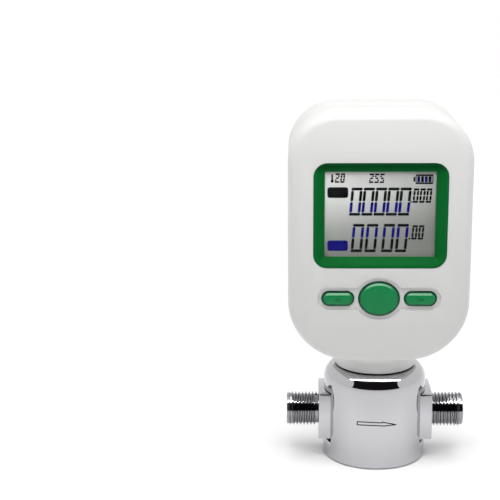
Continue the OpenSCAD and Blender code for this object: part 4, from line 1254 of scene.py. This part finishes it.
# %% Dress every piece
dressing = {
    white: [front_shell, rear_shell, door], green: [bezel], key_green: keys,
    mark_green: marks, chrome: [pot], inlet_chrome: [inlet], outlet_chrome: [outlet],
    etched: [arrow], steel: [springs], ink_black: [display_prints["black"]],
    ink_blue: [display_prints["blue"]],
}
for material, pieces in dressing.items():
    for piece in pieces:
        dress(piece, material)
node_finish = {
    rubber: ["inlet_seal", "outlet_seal", "sensor_gasket", "neck_gasket", "case_seal"],
    grey: ["bottom_cover", "lcd_holder", "sensor_ring_nut"],
    black: ["up_plunger", "function_plunger", "down_plunger", "tact_switches"],
    steel: ["bottom_cover_screws", "adapter_set_screws", "neck_screws", "case_screws",
            "main_board_screws", "battery_links", "battery_terminals",
            "battery_door_screws"],
    core_metal: ["flow_core"], brass: ["inlet_screen", "outlet_screen"],
    milky: ["lcd_backlight", "sensor_carrier", "ribbon_socket"],
    board_green: ["main_board", "sensor_board"],
    chip: ["board_components", "sensor_chip", "lcd_connector"],
    ribbon: ["sensor_ribbon"], window: ["window_lens"], display_grey: ["lcd_glass"],
    sleeve_up: ["battery_cell_1", "battery_cell_3"],
    sleeve_down: ["battery_cell_2", "battery_cell_4"],
}
for material, names in node_finish.items():
    for name in names:
        dress(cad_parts[name], material)
print("nodes dressed:", sum(len(names) for names in node_finish.values()))

# %% [markdown]
# ## Floor and light
# A plain white floor gives a clean background. It lies a hair below the pot, so that the two
# never share a plane.

# %% Floor
FLOOR_SIZE = 12
FLOOR_Z = -0.0002
leave_edit()
bpy.ops.mesh.primitive_plane_add(size=FLOOR_SIZE, location=(0, 0, FLOOR_Z))
floor = take("floor")
dress(floor, finish("pale_floor", (0.865, 0.865, 0.869), 0.003, rough=(0.5, 0.6), gleam=0.1))
print("floor ready")

# %% [markdown]
# Chrome shows mostly what stands round it, so the surroundings matter as much as the lamps.
# The sky is a white tent with one dark opening in front, which narrows towards its top. It
# draws the crisp black bands across the lower edge of the pot's shoulder and along the threads.
# A direction is in the opening when it passes four tests, so the tests are multiplied together.
# The camera itself sees a plain white backdrop in place of the sky.

# %% Sky with a dark opening
OPENING_LOW = -0.02
OPENING_HIGH = 0.85
OPENING_SIDE = 0.81
OPENING_DEPTH = -0.1
OPENING_NARROWS = 0.2
SKY_STRENGTH = 0.98

world = bpy.data.worlds.new("studio")
bpy.context.scene.world = world
world.use_nodes = True
nodes, links = world.node_tree.nodes, world.node_tree.links


def maths(way, *values):
    """A Math node of the sky. Each value is a plain number or another node's output."""
    node = nodes.new("ShaderNodeMath")
    node.operation = way
    for socket, value in zip(node.inputs, values):
        if isinstance(value, bpy.types.NodeSocket):
            links.new(value, socket)
        else:
            socket.default_value = value
    return node.outputs["Value"]


place = nodes.new("ShaderNodeTexCoord")
axes = nodes.new("ShaderNodeSeparateXYZ")
links.new(place.outputs["Generated"], axes.inputs["Vector"])
up = axes.outputs["Z"]
aside = maths("ABSOLUTE", axes.outputs["X"])
under_top = maths("MULTIPLY_ADD", aside, OPENING_NARROWS, up)
within_sides = maths("MULTIPLY_ADD", up, OPENING_NARROWS, aside)
opening = maths("GREATER_THAN", up, OPENING_LOW)
for value, limit in [(under_top, OPENING_HIGH), (within_sides, OPENING_SIDE),
                     (axes.outputs["Y"], OPENING_DEPTH)]:
    opening = maths("MULTIPLY", opening, maths("LESS_THAN", value, limit))
sky = nodes.new("ShaderNodeMix")
sky.data_type = "RGBA"
sky.inputs["A"].default_value = (1, 1, 1, 1)
sky.inputs["B"].default_value = (0.012, 0.01, 0.012, 1)
links.new(opening, sky.inputs["Factor"])
links.new(sky.outputs["Result"], nodes["Background"].inputs["Color"])
nodes["Background"].inputs["Strength"].default_value = SKY_STRENGTH
print("sky ready")

# %% Backdrop for the camera
BACKDROP_STRENGTH = 1.1
backdrop = nodes.new("ShaderNodeBackground")
backdrop.inputs["Color"].default_value = (1, 1, 1, 1)
backdrop.inputs["Strength"].default_value = BACKDROP_STRENGTH
path = nodes.new("ShaderNodeLightPath")
seen = nodes.new("ShaderNodeMixShader")
links.new(path.outputs["Is Camera Ray"], seen.inputs["Fac"])
links.new(nodes["Background"].outputs["Background"], seen.inputs[1])
links.new(backdrop.outputs["Background"], seen.inputs[2])
links.new(seen.outputs["Shader"], nodes["World Output"].inputs["Surface"])
bpy.context.scene.view_settings.view_transform = "Standard"
print("backdrop ready")

# %% [markdown]
# A broad soft lamp straight above lights the floor and the case's top. A small panel close to
# the face makes its upper part brighter than its lower part. A second one, low down, brightens
# the strip of floor in front of the pot, which the pot's lower wall mirrors. Neither panel
# shows in the chrome itself. A long strip above the front adds highlights alone: on the keys'
# upper edges, the threads and the pot's shoulder.

# %% Lights
OVERHEAD_ENERGY = 1.3
OVERHEAD_SPREAD = math.radians(50)


def panel(name, place, aim, size, power):
    """A rectangular lamp at a place, turned to its aim and unseen by the camera."""
    leave_edit()
    bpy.ops.object.light_add(type="AREA", location=place)
    light = bpy.context.object
    light.name = name
    light.data.shape = "RECTANGLE"
    light.data.size, light.data.size_y = size
    light.data.energy = power
    light.rotation_euler = (Vector(aim) - Vector(place)).to_track_quat("-Z", "Y").to_euler()
    light.visible_camera = False
    return light


leave_edit()
bpy.ops.object.light_add(type="SUN", location=(0, 0, 1))
overhead = bpy.context.object
overhead.name = "overhead_lamp"
overhead.data.energy = OVERHEAD_ENERGY
overhead.data.angle = OVERHEAD_SPREAD
face_panel = panel("face_panel", (0, -0.12, 0.22), (0, -0.02, 0.12), (0.16, 0.06), 0.15)
face_panel.visible_glossy = False
low_panel = panel("low_panel", (0, -0.045, 0.03), (0, -0.04, 0), (0.12, 0.03), 0.0065)
low_panel.visible_glossy = False
strip = panel("highlight_strip", (0, -0.2, 0.6), (0, -0.03, 0.05), (1.2, 0.15), 10)
strip.visible_diffuse = False
print("lights ready")

# %% [markdown]
# ## Closing
# The script ends by leaving edit mode, with nothing selected.

# %% Finish
leave_edit()
